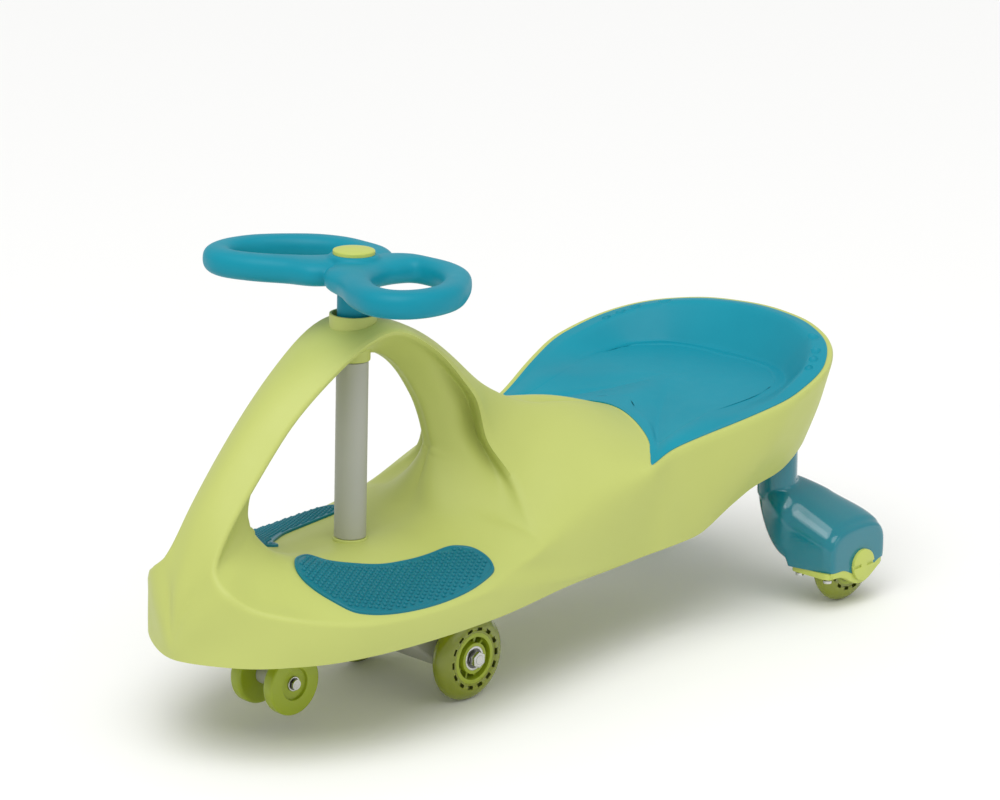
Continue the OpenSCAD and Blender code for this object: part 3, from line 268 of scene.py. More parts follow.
front = front_grid()
tail = tail_grid()
tongue = front[0][TONGUE * NET_STEPS:]
seat_edge = tongue + tail[0]
seat_foot = tail_curve([place((x, y, 0)) for x, y in FOOT], NET_STEPS)
seat_spine = tail_curve([place((0, y, 0)) for y in SPINE], NET_STEPS)
flange_w = [p.y for p in tail_curve([Vector((0, s * FLANGE_W, 0)) for s in FLANGE], NET_STEPS)]
PAN_FRONT_Y, PAN_FRONT_H = outer[TONGUE].y, outer[TONGUE].z
PAN_REAR_H = RIM[-1][2] * ARCH_H - BUCKET_DEPTH
PAN_SLOPE = (PAN_REAR_H - PAN_FRONT_H) / (FOOT[-1][1] * BODY_LEN - SETBACK - PAN_FRONT_Y)


def pan_h(y):
    return PAN_FRONT_H + (y - PAN_FRONT_Y) * PAN_SLOPE


def inward(b):
    """Level direction from the seat's edge towards the seat, square to the edge."""
    last = len(seat_edge) - 1
    before = flip(seat_edge[1]) if b == 0 else seat_edge[b - 1]
    after = flip(seat_edge[b - 1]) if b == last else seat_edge[b + 1]
    t = (seat_edge[b] - before).to_2d().normalized() + (after - seat_edge[b]).to_2d().normalized()
    return Vector((-t.y, t.x, 0)).normalized()


def pan_point(p, b, part):
    plane = pan_h(p.y)
    return Vector((p.x, p.y, plane - part * max(0, plane - seat_edge[b].z)))


seat_cols = range(len(seat_edge))
lip_inner = [seat_edge[b] + inward(b) * SEAT_LIP for b in seat_cols]


def pan_row(t):
    return [pan_point(seat_foot[b].lerp(seat_spine[b], t), b, FALL * (1 - t)) for b in seat_cols]


def shifted(row, h):
    return [p + UP * h for p in row]


# mesh helpers
def new_object(name, mesh):
    obj = bpy.data.objects.new(name, mesh)
    bpy.context.scene.collection.objects.link(obj)
    return obj


def give(obj, material):
    obj.data.materials.clear()
    obj.data.materials.append(material)


def finish_piece(obj, material, body, slot, *replaced):
    if material:
        give(obj, material)
    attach(obj, body)
    if replaced:
        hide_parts(*replaced)
    return obj


def shade(obj, angle=None):
    for p in obj.data.polygons:
        p.use_smooth = True
    if angle is not None:
        obj.data.set_sharp_from_angle(angle=math.radians(angle))


def apply_modifiers(obj):
    graph = bpy.context.evaluated_depsgraph_get()
    mesh = bpy.data.meshes.new_from_object(obj.evaluated_get(graph), depsgraph=graph)
    old = obj.data
    obj.modifiers.clear()
    obj.data = mesh
    mesh.name = obj.name
    bpy.data.meshes.remove(old)


def thicken(obj, wall):
    mod = obj.modifiers.new("wall", "SOLIDIFY")
    mod.thickness = wall * MM
    mod.offset = -1
    apply_modifiers(obj)


def new_mesh(name, verts, faces):
    mesh = bpy.data.meshes.new(name)
    mesh.from_pydata(verts, [], faces)
    return mesh


def closed_mesh(name, verts, faces):
    mesh = new_mesh(name, verts, faces)
    bm = bmesh.new()
    bm.from_mesh(mesh)
    bmesh.ops.recalc_face_normals(bm, faces=bm.faces)
    bm.to_mesh(mesh)
    bm.free()
    return mesh


class Cage:
    """Welded quad cage made of grids and their mirror images."""

    def __init__(self):
        self.points = []
        self.index = {}
        self.faces = []
        self.creases = {}

    def vertex(self, p):
        key = (round(p.x, 3), round(p.y, 3), round(p.z, 3))
        if key not in self.index:
            self.index[key] = len(self.points)
            self.points.append(to_frame(p))
        return self.index[key]

    def grid(self, rows, closed, turned):
        for side in (1, -1):
            ids = [[self.vertex(Vector((p.x * side, p.y, p.z))) for p in row] for row in rows]
            cols = len(rows[0])
            for r in range(len(rows) - 1):
                for k in range(cols if closed else cols - 1):
                    n = (k + 1) % cols
                    quad = [ids[r][k], ids[r][n], ids[r + 1][n], ids[r + 1][k]]
                    quad = [v for i, v in enumerate(quad) if v != quad[i - 1]]
                    if len(quad) > 2:
                        self.faces.append(quad[::-1] if turned == (side > 0) else quad)

    def crease_line(self, row, weight, closed=False):
        for side in (1, -1):
            ids = [self.vertex(Vector((p.x * side, p.y, p.z))) for p in row]
            weights = weight if isinstance(weight, list) else [weight] * len(ids)
            for i in range(len(ids) if closed else len(ids) - 1):
                pair = tuple(sorted((ids[i], ids[(i + 1) % len(ids)])))
                self.creases[pair] = max(weights[i], self.creases.get(pair, 0))

    def object(self, name):
        mesh = new_mesh(name, self.points, self.faces)
        layer = mesh.attributes.new("crease_edge", "FLOAT", "EDGE")
        for e in mesh.edges:
            layer.data[e.index].value = self.creases.get(tuple(sorted(e.vertices)), 0)
        return new_object(name, mesh)


def subdivide(obj, levels, rounds=6):
    """Smooths a cage so that the smooth skin passes through the cage's own points."""
    mod = obj.modifiers.new("smooth", "SUBSURF")
    mod.levels = mod.render_levels = 2
    target = [v.co.copy() for v in obj.data.vertices]
    for _ in range(rounds):
        graph = bpy.context.evaluated_depsgraph_get()
        skin = obj.evaluated_get(graph).to_mesh()
        for v in obj.data.vertices:
            v.co += (target[v.index] - skin.vertices[v.index].co) * 0.9
        obj.evaluated_get(graph).to_mesh_clear()
        obj.data.update()
        bpy.context.view_layer.update()
    mod.levels = mod.render_levels = levels
    apply_modifiers(obj)


def axis_matrix(h=0.0):
    """Frame of the raked steering axis, at a height above the ground, in metres."""
    lean = Matrix.Rotation(-RAKE, 4, "X")
    base = Matrix.Translation(Vector((0, -MIDDLE_Y * MM, DECK_H * MM)))
    return base @ lean @ Matrix.Translation(Vector((0, 0, (h - DECK_H) * MM)))


def wheel_matrix(x, y, z):
    """Frame with Z along the car's X axis, at a point in the source's own frame."""
    return Matrix.Translation(to_frame(Vector((x, y, z)))) @ Matrix.Rotation(math.pi / 2, 4, "Y")


def rounded_profile(points, steps=3):
    """Profile with round corners: points are (radius, height, rounding)."""
    out = []
    count = len(points)
    for i in range(count):
        p = Vector(points[i][:2])
        size = points[i][2] if len(points[i]) > 2 else 0
        if not size:
            out.append(p)
            continue
        a, b = Vector(points[i - 1][:2]) - p, Vector(points[(i + 1) % count][:2]) - p
        start = p + a.normalized() * min(size, a.length * 0.49)
        end = p + b.normalized() * min(size, b.length * 0.49)
        for s in range(steps + 1):
            t = s / steps
            out.append(start * (1 - t) ** 2 + p * 2 * t * (1 - t) + end * t * t)
    return out


def tube(inner, outer, h, low_ease=0, high_ease=0):
    return [(inner, 0), (outer, 0, low_ease), (outer, h, high_ease), (inner, h)]


def lathe(name, points, matrix, segments=96, steps=3):
    """Closed turned form; its points are a closed outline in millimetres, as for rounded_profile."""
    profile = rounded_profile(points, steps)
    verts, faces = [], []
    count = len(profile)
    for s in range(segments):
        a = 2 * math.pi * s / segments
        for p in profile:
            verts.append(Vector((p[0] * math.cos(a) * MM, p[0] * math.sin(a) * MM, p[1] * MM)))
    for s in range(segments):
        n = (s + 1) % segments
        for i in range(count):
            j = (i + 1) % count
            faces.append((s * count + i, n * count + i, n * count + j, s * count + j))
    mesh = new_mesh(name, verts, faces)
    bm = bmesh.new()
    bm.from_mesh(mesh)
    bmesh.ops.remove_doubles(bm, verts=bm.verts, dist=1e-6)
    bmesh.ops.dissolve_degenerate(bm, edges=bm.edges, dist=1e-7)
    bmesh.ops.recalc_face_normals(bm, faces=bm.faces)
    bm.to_mesh(mesh)
    bm.free()
    mesh.transform(matrix)
    obj = new_object(name, mesh)
    shade(obj, 35)
    return obj


# finishes
def plastic(name, colour, shade_colour, roughness, spread=0.06, grain=0.00025, grain_size=900, coat=0.0,
            mottle=9.0, shine=0.5):
    """Moulded plastic: faint colour mottling, a fine grain and slightly uneven gloss."""
    mat = bpy.data.materials.new(name)
    mat.use_nodes = True
    tree = mat.node_tree
    link = tree.links.new
    shader = tree.nodes["Principled BSDF"]
    coord = tree.nodes.new("ShaderNodeTexCoord")

    def noise(scale, detail):
        node = tree.nodes.new("ShaderNodeTexNoise")
        node.inputs["Scale"].default_value = scale
        node.inputs["Detail"].default_value = detail
        link(coord.outputs["Object"], node.inputs["Vector"])
        return node.outputs["Fac"]

    ramp = tree.nodes.new("ShaderNodeValToRGB")
    ramp.color_ramp.elements[0].position = 0.3
    ramp.color_ramp.elements[0].color = (*shade_colour, 1)
    ramp.color_ramp.elements[1].position = 0.7
    ramp.color_ramp.elements[1].color = (*colour, 1)
    link(noise(mottle, 4), ramp.inputs["Fac"])
    link(ramp.outputs["Color"], shader.inputs["Base Color"])
    gloss = tree.nodes.new("ShaderNodeMapRange")
    gloss.inputs["To Min"].default_value = roughness - spread
    gloss.inputs["To Max"].default_value = roughness + spread
    link(noise(60, 6), gloss.inputs["Value"])
    link(gloss.outputs["Result"], shader.inputs["Roughness"])
    bump = tree.nodes.new("ShaderNodeBump")
    bump.inputs["Strength"].default_value = 0.25
    bump.inputs["Distance"].default_value = grain
    link(noise(grain_size, 3), bump.inputs["Height"])
    link(bump.outputs["Normal"], shader.inputs["Normal"])
    shader.inputs["Specular IOR Level"].default_value = shine
    shader.inputs["Coat Weight"].default_value = coat
    shader.inputs["Coat Roughness"].default_value = 0.08
    return mat


def steel(name, colour, roughness):
    mat = plastic(name, colour, tuple(c * 0.85 for c in colour), roughness, 0.08, 0.0001, 500)
    mat.node_tree.nodes["Principled BSDF"].inputs["Metallic"].default_value = 1.0
    return mat


def cast_tyre(name, colour, deep, roughness):
    """Translucent cast polyurethane: light passes a little way into it."""
    mat = plastic(name, colour, deep, roughness, 0.05, 0.0002, 400, 0.25, 30)
    shader = mat.node_tree.nodes["Principled BSDF"]
    shader.inputs["Subsurface Weight"].default_value = 0.25
    shader.inputs["Subsurface Radius"].default_value = (0.004, 0.004, 0.001)
    shader.inputs["Subsurface Scale"].default_value = 1.0
    return mat


# colours: lit and shaded tone of each finish
LIME = plastic("lime_moulding", (0.500, 0.550, 0.155), (0.470, 0.520, 0.138), 0.50, mottle=5.0, shine=0.35)
LIME_GLOSS = plastic("lime_gloss", (0.34, 0.42, 0.020), (0.29, 0.37, 0.015), 0.32, coat=0.2, shine=0.35)
LIME_CAP = plastic("lime_cap", (0.52, 0.59, 0.13), (0.48, 0.55, 0.11), 0.4, shine=0.35)
TEAL = plastic("teal_moulding", (0.003, 0.270, 0.365), (0.002, 0.240, 0.330), 0.46, shine=0.2)
TEAL_PAD = plastic("teal_pad", (0.002, 0.175, 0.235), (0.002, 0.155, 0.205), 0.36, shine=0.3)
TEAL_GLOSS = plastic("teal_gloss", (0.002, 0.185, 0.240), (0.002, 0.165, 0.215), 0.16,
                     0.04, 0.0001, 300, 0.7, shine=0.3)
GREY = plastic("grey_sleeve", (0.43, 0.435, 0.375), (0.40, 0.405, 0.345), 0.5, shine=0.35)
STEEL = steel("bright_steel", (0.62, 0.62, 0.61), 0.25)
DARK_STEEL = steel("bearing_shield", (0.16, 0.16, 0.15), 0.45)
# painted shade: a darker tone of the tyre's own colour for the faces inside the tyre's slots, where shade
# falls
SLOT_PAINTED_SHADE = plastic("tyre_slot_painted_shade", (0.10, 0.12, 0.012), (0.07, 0.085, 0.008), 0.5)
TYRE = cast_tyre("cast_tyre", (0.25, 0.29, 0.008), (0.19, 0.23, 0.005), 0.22)


# body: walls, sharpness of its ridges, and the bores and fittings round column, posts and screws
BODY_WALL = 2.4
SKIRT_RIDGE, FRONT_RIDGE, REAR_RIDGE, CHEEK_RIDGE = 0.62, 0.45, 0.55, 0.5
EDGE_RIDGE, LIP_RIDGE, BED_RIDGE = 0.7, 0.8, 0.9
BORE_STEP_H, BORE_SPARE = 329.0, 8.0
ARCH_BORE_R, MOUTH_BORE_R, DECK_BORE_R, DECK_BORE_OVER = 13.3, 18.2, 13.2, 12.0
BUSH_R, RING_R, COLLAR_R, MOUTH_R = 11.1, 15.5, 20.5, 18.3
COLLAR_STEP, BUSH_TOP, COLLAR_H, RING_H = 20.5, 31.5, 41.0, 35.5
SOCKET_BORE_R, SOCKET_R, SOCKET_LOW_H, SOCKET_H = 19.1, 23.05, 153.0, 50.0
SCREW_PLACES = ((0.400, 0.797), (0.333, 0.884))
SCREW_BORE_R, SCREW_TUBE_R, SCREW_TUBE_LOW_H, SCREW_TUBE_H = 5.0, 8.0, 187.0, 12.0


def clear_bore(obj, low, high, radius):
    """Opens the skin where the column passes; a collar or ring hides the opening's edge."""
    to_axis = axis_matrix(0).inverted()
    bm = bmesh.new()
    bm.from_mesh(obj.data)
    gone = []
    for f in bm.faces:
        p = to_axis @ f.calc_center_median() / MM
        if low < p.z < high and math.hypot(p.x, p.y) < radius:
            gone.append(f)
    bmesh.ops.delete(bm, geom=gone, context="FACES")
    bm.to_mesh(obj.data)
    bm.free()


def make_body():
    cage = Cage()
    cage.grid(front, True, False)
    cage.grid(tail, False, False)
    bed = [seat_edge, lip_inner]
    bed += [shifted(row, -COVER_T) for row in (lip_inner, pan_row(0), pan_row(FALL), pan_row(1))]
    cage.grid(bed, False, True)
    ridge, inner = [], []
    for k in range(len(crease)):
        skirt = k < NOSE or k == len(crease) - 1
        ridge += [SKIRT_RIDGE if skirt else FRONT_RIDGE if k <= ARCH_TOP else REAR_RIDGE] * NET_STEPS
        inner += [CHEEK_RIDGE if NOSE <= k < TONGUE else 0.0] * NET_STEPS
    cage.crease_line(front[CREASE_ROW], ridge, True)
    cage.crease_line(front[CHEEK_ROW], inner, True)
    cage.crease_line(seat_edge, EDGE_RIDGE)
    cage.crease_line(bed[1], LIP_RIDGE)
    cage.crease_line(bed[2], BED_RIDGE)
    obj = cage.object("body_skin")
    subdivide(obj, 3)
    clear_bore(obj, COLLAR_LOW_H - BORE_SPARE, BORE_STEP_H, ARCH_BORE_R)
    clear_bore(obj, BORE_STEP_H, COLLAR_TOP_H, MOUTH_BORE_R)
    clear_bore(obj, RING_LOW_H, DECK_H + DECK_BORE_OVER, DECK_BORE_R)
    thicken(obj, BODY_WALL)
    give(obj, LIME)
    fittings = [
        lathe("collar", [
            (BUSH_R, 0, 0.3), (RING_R, 0, 0.8), (RING_R, COLLAR_STEP), (COLLAR_R, COLLAR_STEP),
            (COLLAR_R, COLLAR_H, 0.7), (MOUTH_R, COLLAR_H, 0.5), (MOUTH_R, BUSH_TOP), (BUSH_R, BUSH_TOP)],
            axis_matrix(COLLAR_LOW_H), 128),
        lathe("ring", [
            (BUSH_R, 0), (RING_R, 0), (RING_R, RING_H, 1.2), (BUSH_R, RING_H, 0.4)],
            axis_matrix(RING_LOW_H), 96),
    ]
    for side in (1, -1):
        fittings.append(lathe(
            "socket", tube(SOCKET_BORE_R, SOCKET_R, SOCKET_H, 0.8),
            Matrix.Translation(to_frame(Vector((POST_X * side, POST_Y, SOCKET_LOW_H)))), 64))
        for x, y in SCREW_PLACES:
            spot = place((x * side, y, 0))
            fittings.append(lathe(
                "screw_tube", tube(SCREW_BORE_R, SCREW_TUBE_R, SCREW_TUBE_H, 0.5),
                Matrix.Translation(to_frame(Vector((spot.x, spot.y, SCREW_TUBE_LOW_H)))), 32))
    for o in fittings:
        give(o, LIME)
    obj = joined("body_moulding", [obj] + fittings)
    shade(obj, 50)
    return finish_piece(obj, None, "body", "lime_body", "body_shell")


def surface_of(obj):
    return BVHTree.FromPolygons([v.co.copy() for v in obj.data.vertices],
                                [tuple(p.vertices) for p in obj.data.polygons])


def bands(first, rows, cols):
    """Quads between rings of points that follow one another in a list."""
    quads = []
    for a in range(first, first + (rows - 1) * cols, cols):
        for k in range(cols):
            n = (k + 1) % cols
            quads.append((a + k, a + n, a + cols + n, a + cols + k))
    return quads


def grid_mesh(name, rows, wrap_rows=False, caps=False):
    """Closed skin through rings of points in millimetres."""
    cols = len(rows[0])
    verts = [p * MM for row in rows for p in row]
    faces = bands(0, len(rows), cols)
    if wrap_rows:
        last = (len(rows) - 1) * cols
        faces += [(last + k, last + (k + 1) % cols, (k + 1) % cols, k) for k in range(cols)]
    if caps:
        faces.append(tuple(reversed(range(cols))))
        faces.append(tuple((len(rows) - 1) * cols + k for k in range(cols)))
    return closed_mesh(name, verts, faces)


def slab_mesh(name, top, bottom, cols):
    """Closed slab between two layers of points that have the same rows and columns."""
    rows, size = len(top) // cols, len(top)
    faces = []
    for i in range(rows - 1):
        for k in range(cols - 1):
            a, b = i * cols + k, (i + 1) * cols + k
            faces.append((a, b, b + 1, a + 1))
            faces.append((size + a, size + a + 1, size + b + 1, size + b))
    loop = list(range(cols)) + [i * cols + cols - 1 for i in range(1, rows)]
    loop += [(rows - 1) * cols + k for k in range(cols - 2, -1, -1)]
    loop += [i * cols for i in range(rows - 2, 0, -1)]
    for i, a in enumerate(loop):
        b = loop[(i + 1) % len(loop)]
        faces.append((a, b, size + b, size + a))
    return closed_mesh(name, [to_frame(p) for p in top + bottom], faces)


def joined(name, objects):
    """One object from several, each with its own material."""
    bm = bmesh.new()
    materials = []
    for o in objects:
        start = len(bm.faces)
        bm.from_mesh(o.data)
        bm.faces.ensure_lookup_table()
        held = o.data.materials[0] if o.data.materials else None
        if held not in materials:
            materials.append(held)
        for f in bm.faces[start:]:
            f.material_index = materials.index(held)
    mesh = bpy.data.meshes.new(name)
    bm.to_mesh(mesh)
    bm.free()
    for o in objects:
        remove(o)
    for m in materials:
        if m is not None:
            mesh.materials.append(m)
    return new_object(name, mesh)


def cut(obj, cutter, material_mode="INDEX"):
    mod = obj.modifiers.new("cut", "BOOLEAN")
    mod.operation = "DIFFERENCE"
    mod.solver = "EXACT"
    mod.object = cutter
    mod.material_mode = material_mode
    bpy.context.view_layer.update()
    apply_modifiers(obj)


def remove(obj):
    data = obj.data
    bpy.data.objects.remove(obj)
    bpy.data.meshes.remove(data)


def fused(obj, voxel, turns):
    """Melts overlapping forms into one skin with soft joints."""
    mod = obj.modifiers.new("melt", "REMESH")
    mod.mode = "VOXEL"
    mod.voxel_size = voxel * MM
    soft = obj.modifiers.new("soft", "SMOOTH")
    soft.factor = 0.5
    soft.iterations = turns
    apply_modifiers(obj)


def eased_copy(name, node, width=0.4, segments=2, angle=35):
    """Copy of a CAD node with its sharp edges eased."""
    source = nodes[node].data
    points = [v.co.copy() for v in source.vertices]
    mesh = new_mesh(name, points, [tuple(p.vertices) for p in source.polygons])
    bm = bmesh.new()
    bm.from_mesh(mesh)
    bmesh.ops.remove_doubles(bm, verts=bm.verts, dist=1e-6)
    bmesh.ops.dissolve_limit(bm, angle_limit=math.radians(0.4), verts=bm.verts, edges=bm.edges)
    bm.to_mesh(mesh)
    bm.free()
    obj = new_object(name, mesh)
    mod = obj.modifiers.new("ease", "BEVEL")
    mod.width = width * MM
    mod.segments = segments
    mod.limit_method = "ANGLE"
    mod.angle_limit = math.radians(angle)
    apply_modifiers(obj)
    shade(obj, 30)
    return obj


# seat: its wall, the step in its pan, the columns where that step begins, and sharpness of its ridges
SEAT_WALL, SEAT_GAP = 3.0, 0.3
STEP_IN, STEP_W, STEP_DEPTH = 13.0, 1.6, 0.9
STEP_FROM, STEP_SPAN, STEP_MOST = 10, 6, 0.9
RIM_RIDGE, FOOT_RIDGE, STEP_RIDGE = 0.6, 0.5, 0.7
# height above the rim from which a recess finds the seat
RECESS_LOOK = 30.0


def cut_recess(obj, middle, normal, ahead, size):
    """Presses a shallow oval dish into the seat's rim."""
    across = normal.cross(ahead).normalized()
    ahead = across.cross(normal).normalized()
    ball = (size * size + RECESS_DEPTH ** 2) / (2 * RECESS_DEPTH)
    bm = bmesh.new()
    bmesh.ops.create_icosphere(bm, subdivisions=5, radius=ball * MM)
    turn = Matrix((ahead * RECESS_LONG, across, normal)).transposed().to_4x4()
    lift = Matrix.Translation(middle + normal * (ball - RECESS_DEPTH) * MM)
    bmesh.ops.transform(bm, matrix=lift @ turn, verts=bm.verts)
    mesh = bpy.data.meshes.new("recess")
    bm.to_mesh(mesh)
    bm.free()
    cutter = new_object("recess", mesh)
    cut(obj, cutter)
    remove(cutter)


def make_seat():
    def along(b, distance):
        return min(STEP_MOST, distance / max(1.0, (seat_spine[b] - seat_foot[b]).length))

    def step_part(b):
        return max(0.0, min(1.0, (b - STEP_FROM) / STEP_SPAN))

    edge = [lip_inner[b] + inward(b) * SEAT_GAP for b in seat_cols]
    flange = [lip_inner[b] + inward(b) * flange_w[b] for b in seat_cols]
    foot = pan_row(0)

    def inner_row(distance, drop):
        row = []
        for b in seat_cols:
            t = along(b, distance)
            p = pan_point(seat_foot[b].lerp(seat_spine[b], t), b, FALL * (1 - t))
            row.append(p - UP * drop * step_part(b))
        return row

    mid = [p - UP * STEP_DEPTH * step_part(b) for b, p in enumerate(pan_row(FALL))]
    spine = [p - UP * STEP_DEPTH * step_part(b) for b, p in enumerate(pan_row(1))]
    step_top, step_low = inner_row(STEP_IN, 0), inner_row(STEP_IN + STEP_W, STEP_DEPTH)
    cage = Cage()
    cage.grid([edge, flange, foot, step_top, step_low, mid, spine], False, True)
    cage.crease_line(edge, 1.0)
    cage.crease_line(flange, RIM_RIDGE)
    for row, weight in ((foot, FOOT_RIDGE), (step_top, STEP_RIDGE), (step_low, STEP_RIDGE)):
        cage.crease_line(row, [weight * step_part(b) for b in seat_cols])
    obj = cage.object("seat_moulding")
    subdivide(obj, 3)
    thicken(obj, SEAT_WALL)
    seat_tree = surface_of(obj)
    for b, size in RECESSES:
        middle = to_frame(edge[b].lerp(flange[b], RECESS_SHARE))
        ahead = to_frame(flange[b - 1]) - to_frame(flange[b + 1])
        for side in (1, -1):
            above = Vector((middle.x * side, middle.y, middle.z + RECESS_LOOK * MM))
            spot, normal = seat_tree.ray_cast(above, -UP)[:2]
            if normal.z < 0:
                normal.negate()
            cut_recess(obj, spot, normal, Vector((ahead.x * side, ahead.y, ahead.z)), size)
    shade(obj, 36)
    finish_piece(obj, TEAL, "body", "teal_satin", "seat_cover")


# foot pads: inset and height along the rim, then the studs' pitch, margin, number of sides and form
PAD_RIM = ((0.0, -0.4), (0.0, 1.6), (0.25, 2.15), (0.8, 2.45), (1.8, 2.45), (2.4, 2.2), (2.7, 1.7))
FLOOR_IN, FLOOR_UP = PAD_RIM[-1]
STUD_PITCH, STUD_ROW, STUD_MARGIN, STUD_SIDES = 5.6, 0.866, 4.8, 8
STUD = ((1.95, -0.15), (1.7, 0.75), (1.15, 1.35), (0.5, 1.6))
# height above the CAD pad from which its points find the body
PAD_LOOK = 3.0


def inside_outline(x, y, ring):
    odd = False
    for i in range(len(ring)):
        a, b = ring[i - 1], ring[i]
        if (a.y > y) != (b.y > y) and x < (b.x - a.x) * (y - a.y) / (b.y - a.y) + a.x:
            odd = not odd
    return odd


def stud_places(inner, margin):
    """Places of the studs: staggered rows that stay inside the margin."""
    low = Vector((min(p.x for p in inner), min(p.y for p in inner)))
    high = Vector((max(p.x for p in inner), max(p.y for p in inner)))
    pitch = STUD_PITCH * MM
    places = []
    row, y = 0, low.y
    while y < high.y:
        x = low.x + (pitch / 2 if row % 2 else 0)
        while x < high.x:
            if inside_outline(x, y, margin):
                places.append((x, y))
            x += pitch
        y += pitch * STUD_ROW
        row += 1
    return places


def make_pad(side, name):
    outline = [to_frame(p) for p in ring_curve([place((x, y, 0)) for x, y in PAD], 6)]
    if side < 0:
        outline = [flip(p) for p in reversed(outline)]
    count = len(outline)
    area = sum(outline[i - 1].x * outline[i].y - outline[i].x * outline[i - 1].y for i in range(count))
    turn = 1 if area > 0 else -1
    ray_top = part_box("foot_pad_" + name)[1][2] + PAD_LOOK * MM

    def inset(distance):
        ring = []
        for i in range(count):
            along = (outline[(i + 1) % count] - outline[i - 1]).normalized()
            ring.append(outline[i] + Vector((-along.y, along.x, 0)) * turn * distance * MM)
        return ring

    def lifted(x, y, h):
        hit = body_tree.ray_cast(Vector((x, y, ray_top)), -UP)[0]
        return Vector((x, y, (hit.z if hit else DECK_H * MM) + h * MM))

    verts = [lifted(p.x, p.y, h) for d, h in PAD_RIM for p in inset(d)]
    faces = bands(0, len(PAD_RIM), count)
    last = (len(PAD_RIM) - 1) * count
    inner = inset(FLOOR_IN)
    places = stud_places(inner, inset(STUD_MARGIN))
    flat = [Vector((p.x, p.y)) for p in inner] + [Vector(p) for p in places]
    out = delaunay_2d_cdt(flat, [], [list(range(count))], 1, 1e-7)
    new_index = []
    for p, origin in zip(out[0], out[3]):
        if origin and origin[0] < count:
            new_index.append(last + origin[0])
        else:
            new_index.append(len(verts))
            verts.append(lifted(p.x, p.y, FLOOR_UP))
    for face in out[2]:
        faces.append(tuple(new_index[i] for i in face))
    for x, y in places:
        base = lifted(x, y, FLOOR_UP)
        faces += bands(len(verts), len(STUD), STUD_SIDES)
        for radius, h in STUD:
            for k in range(STUD_SIDES):
                a = 2 * math.pi * k / STUD_SIDES
                verts.append(base + Vector((radius * math.cos(a), radius * math.sin(a), h)) * MM)
        faces.append(tuple(range(len(verts) - STUD_SIDES, len(verts))))
    obj = new_object("studded_pad_" + name, new_mesh("pad", verts, faces))
    shade(obj, 60)
    finish_piece(obj, TEAL_PAD, "body", "teal_satin", "foot_pad_" + name)


# steering wheel: points round a grip and their squareness, then hub, stub, cap and sleeve
GRIP_POINTS, GRIP_POWER = 28, 0.8
HUB_R, HUB_H, HUB_EASE = 22.2, 21.0, 3.0
STUB_R, STUB_H, STUB_DROP = 14.0, 44.0, 4.5
CAP_R, CAP_EDGE_H, CAP_TOP_H = 18.2, 3.4, 5.0
SLEEVE_BORE_R, SLEEVE_R, SLEEVE_H, SLEEVE_GAP = 8.1, 14.0, 157.4, 4.8
# radius that stands for the axis of a solid turned form
AXIS_R = 0.01
# size of the grains in which forms are melted together
MELT = 1.5


def make_steering_wheel():
    def edge(shares):
        return ring_curve([Vector((x * RIM_HALF_W, y * RIM_DEPTH, 0)) for x, y in shares], 8)

    outer_edge, hole_edge = edge(LOOP), edge(HOLE)
    parts = []
    for side in (1, -1):
        rows = []
        for i in range(GRIP_POINTS):
            a = 2 * math.pi * i / GRIP_POINTS
            out, up = power(math.cos(a), GRIP_POWER), power(math.sin(a), GRIP_POWER)
            row = []
            for o, h in zip(outer_edge, hole_edge):
                p = h.lerp(o, (1 + out) / 2) + UP * up * GRIP_H / 2
                row.append(Vector((p.x * side, p.y, p.z)))
            rows.append(row)
        mesh = grid_mesh("loop", rows, wrap_rows=True)
        mesh.transform(axis_matrix(GRIP_MID_H))
        parts.append(new_object("loop", mesh))
    parts.append(lathe("hub", tube(AXIS_R, HUB_R, HUB_H, HUB_EASE, HUB_EASE), axis_matrix(HUB_LOW_H)))
    parts.append(lathe("stub", tube(AXIS_R, STUB_R, STUB_H, 0.6), axis_matrix(COLLAR_TOP_H - STUB_DROP)))
    obj = joined("steering_wheel_moulding", parts)
    fused(obj, MELT, 10)
    shade(obj)
    finish_piece(obj, TEAL, "steering", "teal_satin", "steering_wheel")
    cap = lathe("steering_cap_disc", [
        (AXIS_R, 0), (CAP_R, 0), (CAP_R, CAP_EDGE_H, 1.2), (9, 4.6), (AXIS_R, CAP_TOP_H)],
        axis_matrix(HUB_TOP_H))
    finish_piece(cap, LIME_CAP, "steering", "lime_body", "steering_cap")
    sleeve = lathe("column_sleeve_tube", tube(SLEEVE_BORE_R, SLEEVE_R, SLEEVE_H, 0.8, 0.8),
                   axis_matrix(DECK_H + SLEEVE_GAP))
    finish_piece(sleeve, GREY, "steering", "grey_plastic", "column_sleeve")
    yoke = eased_copy("yoke_moulding", "steering_yoke", 1.2, 3)
    finish_piece(yoke, GREY, "steering", "grey_plastic", "steering_yoke")


# rear legs: squareness of a section's lower and upper half, and what low sections reach past the parting
LOW_POWER, HIGH_POWER = 0.4, 0.72
LOW_SHARE, LOW_OVER = 0.35, 0.09
GUARD_STEPS, GUARD_EASE, EASE_STEPS = 6, 5.0, 6
POST_LOW_H, POST_LEN = 99.5, 96.0
# parting between guard and base plate: height, dip, its reach along the car and its start and span across
PARTING_H, DIP, DIP_REACH, DIP_FROM, DIP_SPAN = 40.0, 10.0, 30.0, 120.0, 40.0
# heights to which the two cutters reach
WELL_LOW_H, BELOW_LOW_H = -30.0, -60.0
# base plate: front and back edge, gap under the guard, thickness, bulge round the axle and thin rim
BASE_FRONT, BASE_BACK, BASE_IN, BASE_GAP = 0.518, 0.386, 12.0, 0.15
BASE_T, BULGE, BULGE_REACH, RIM_LESS, RIM_FROM = 6.5, 3.0, 34.0, 1.2, 0.9
BASE_CORNER, BASE_ACROSS, BASE_ALONG = 0.12, 26, 34


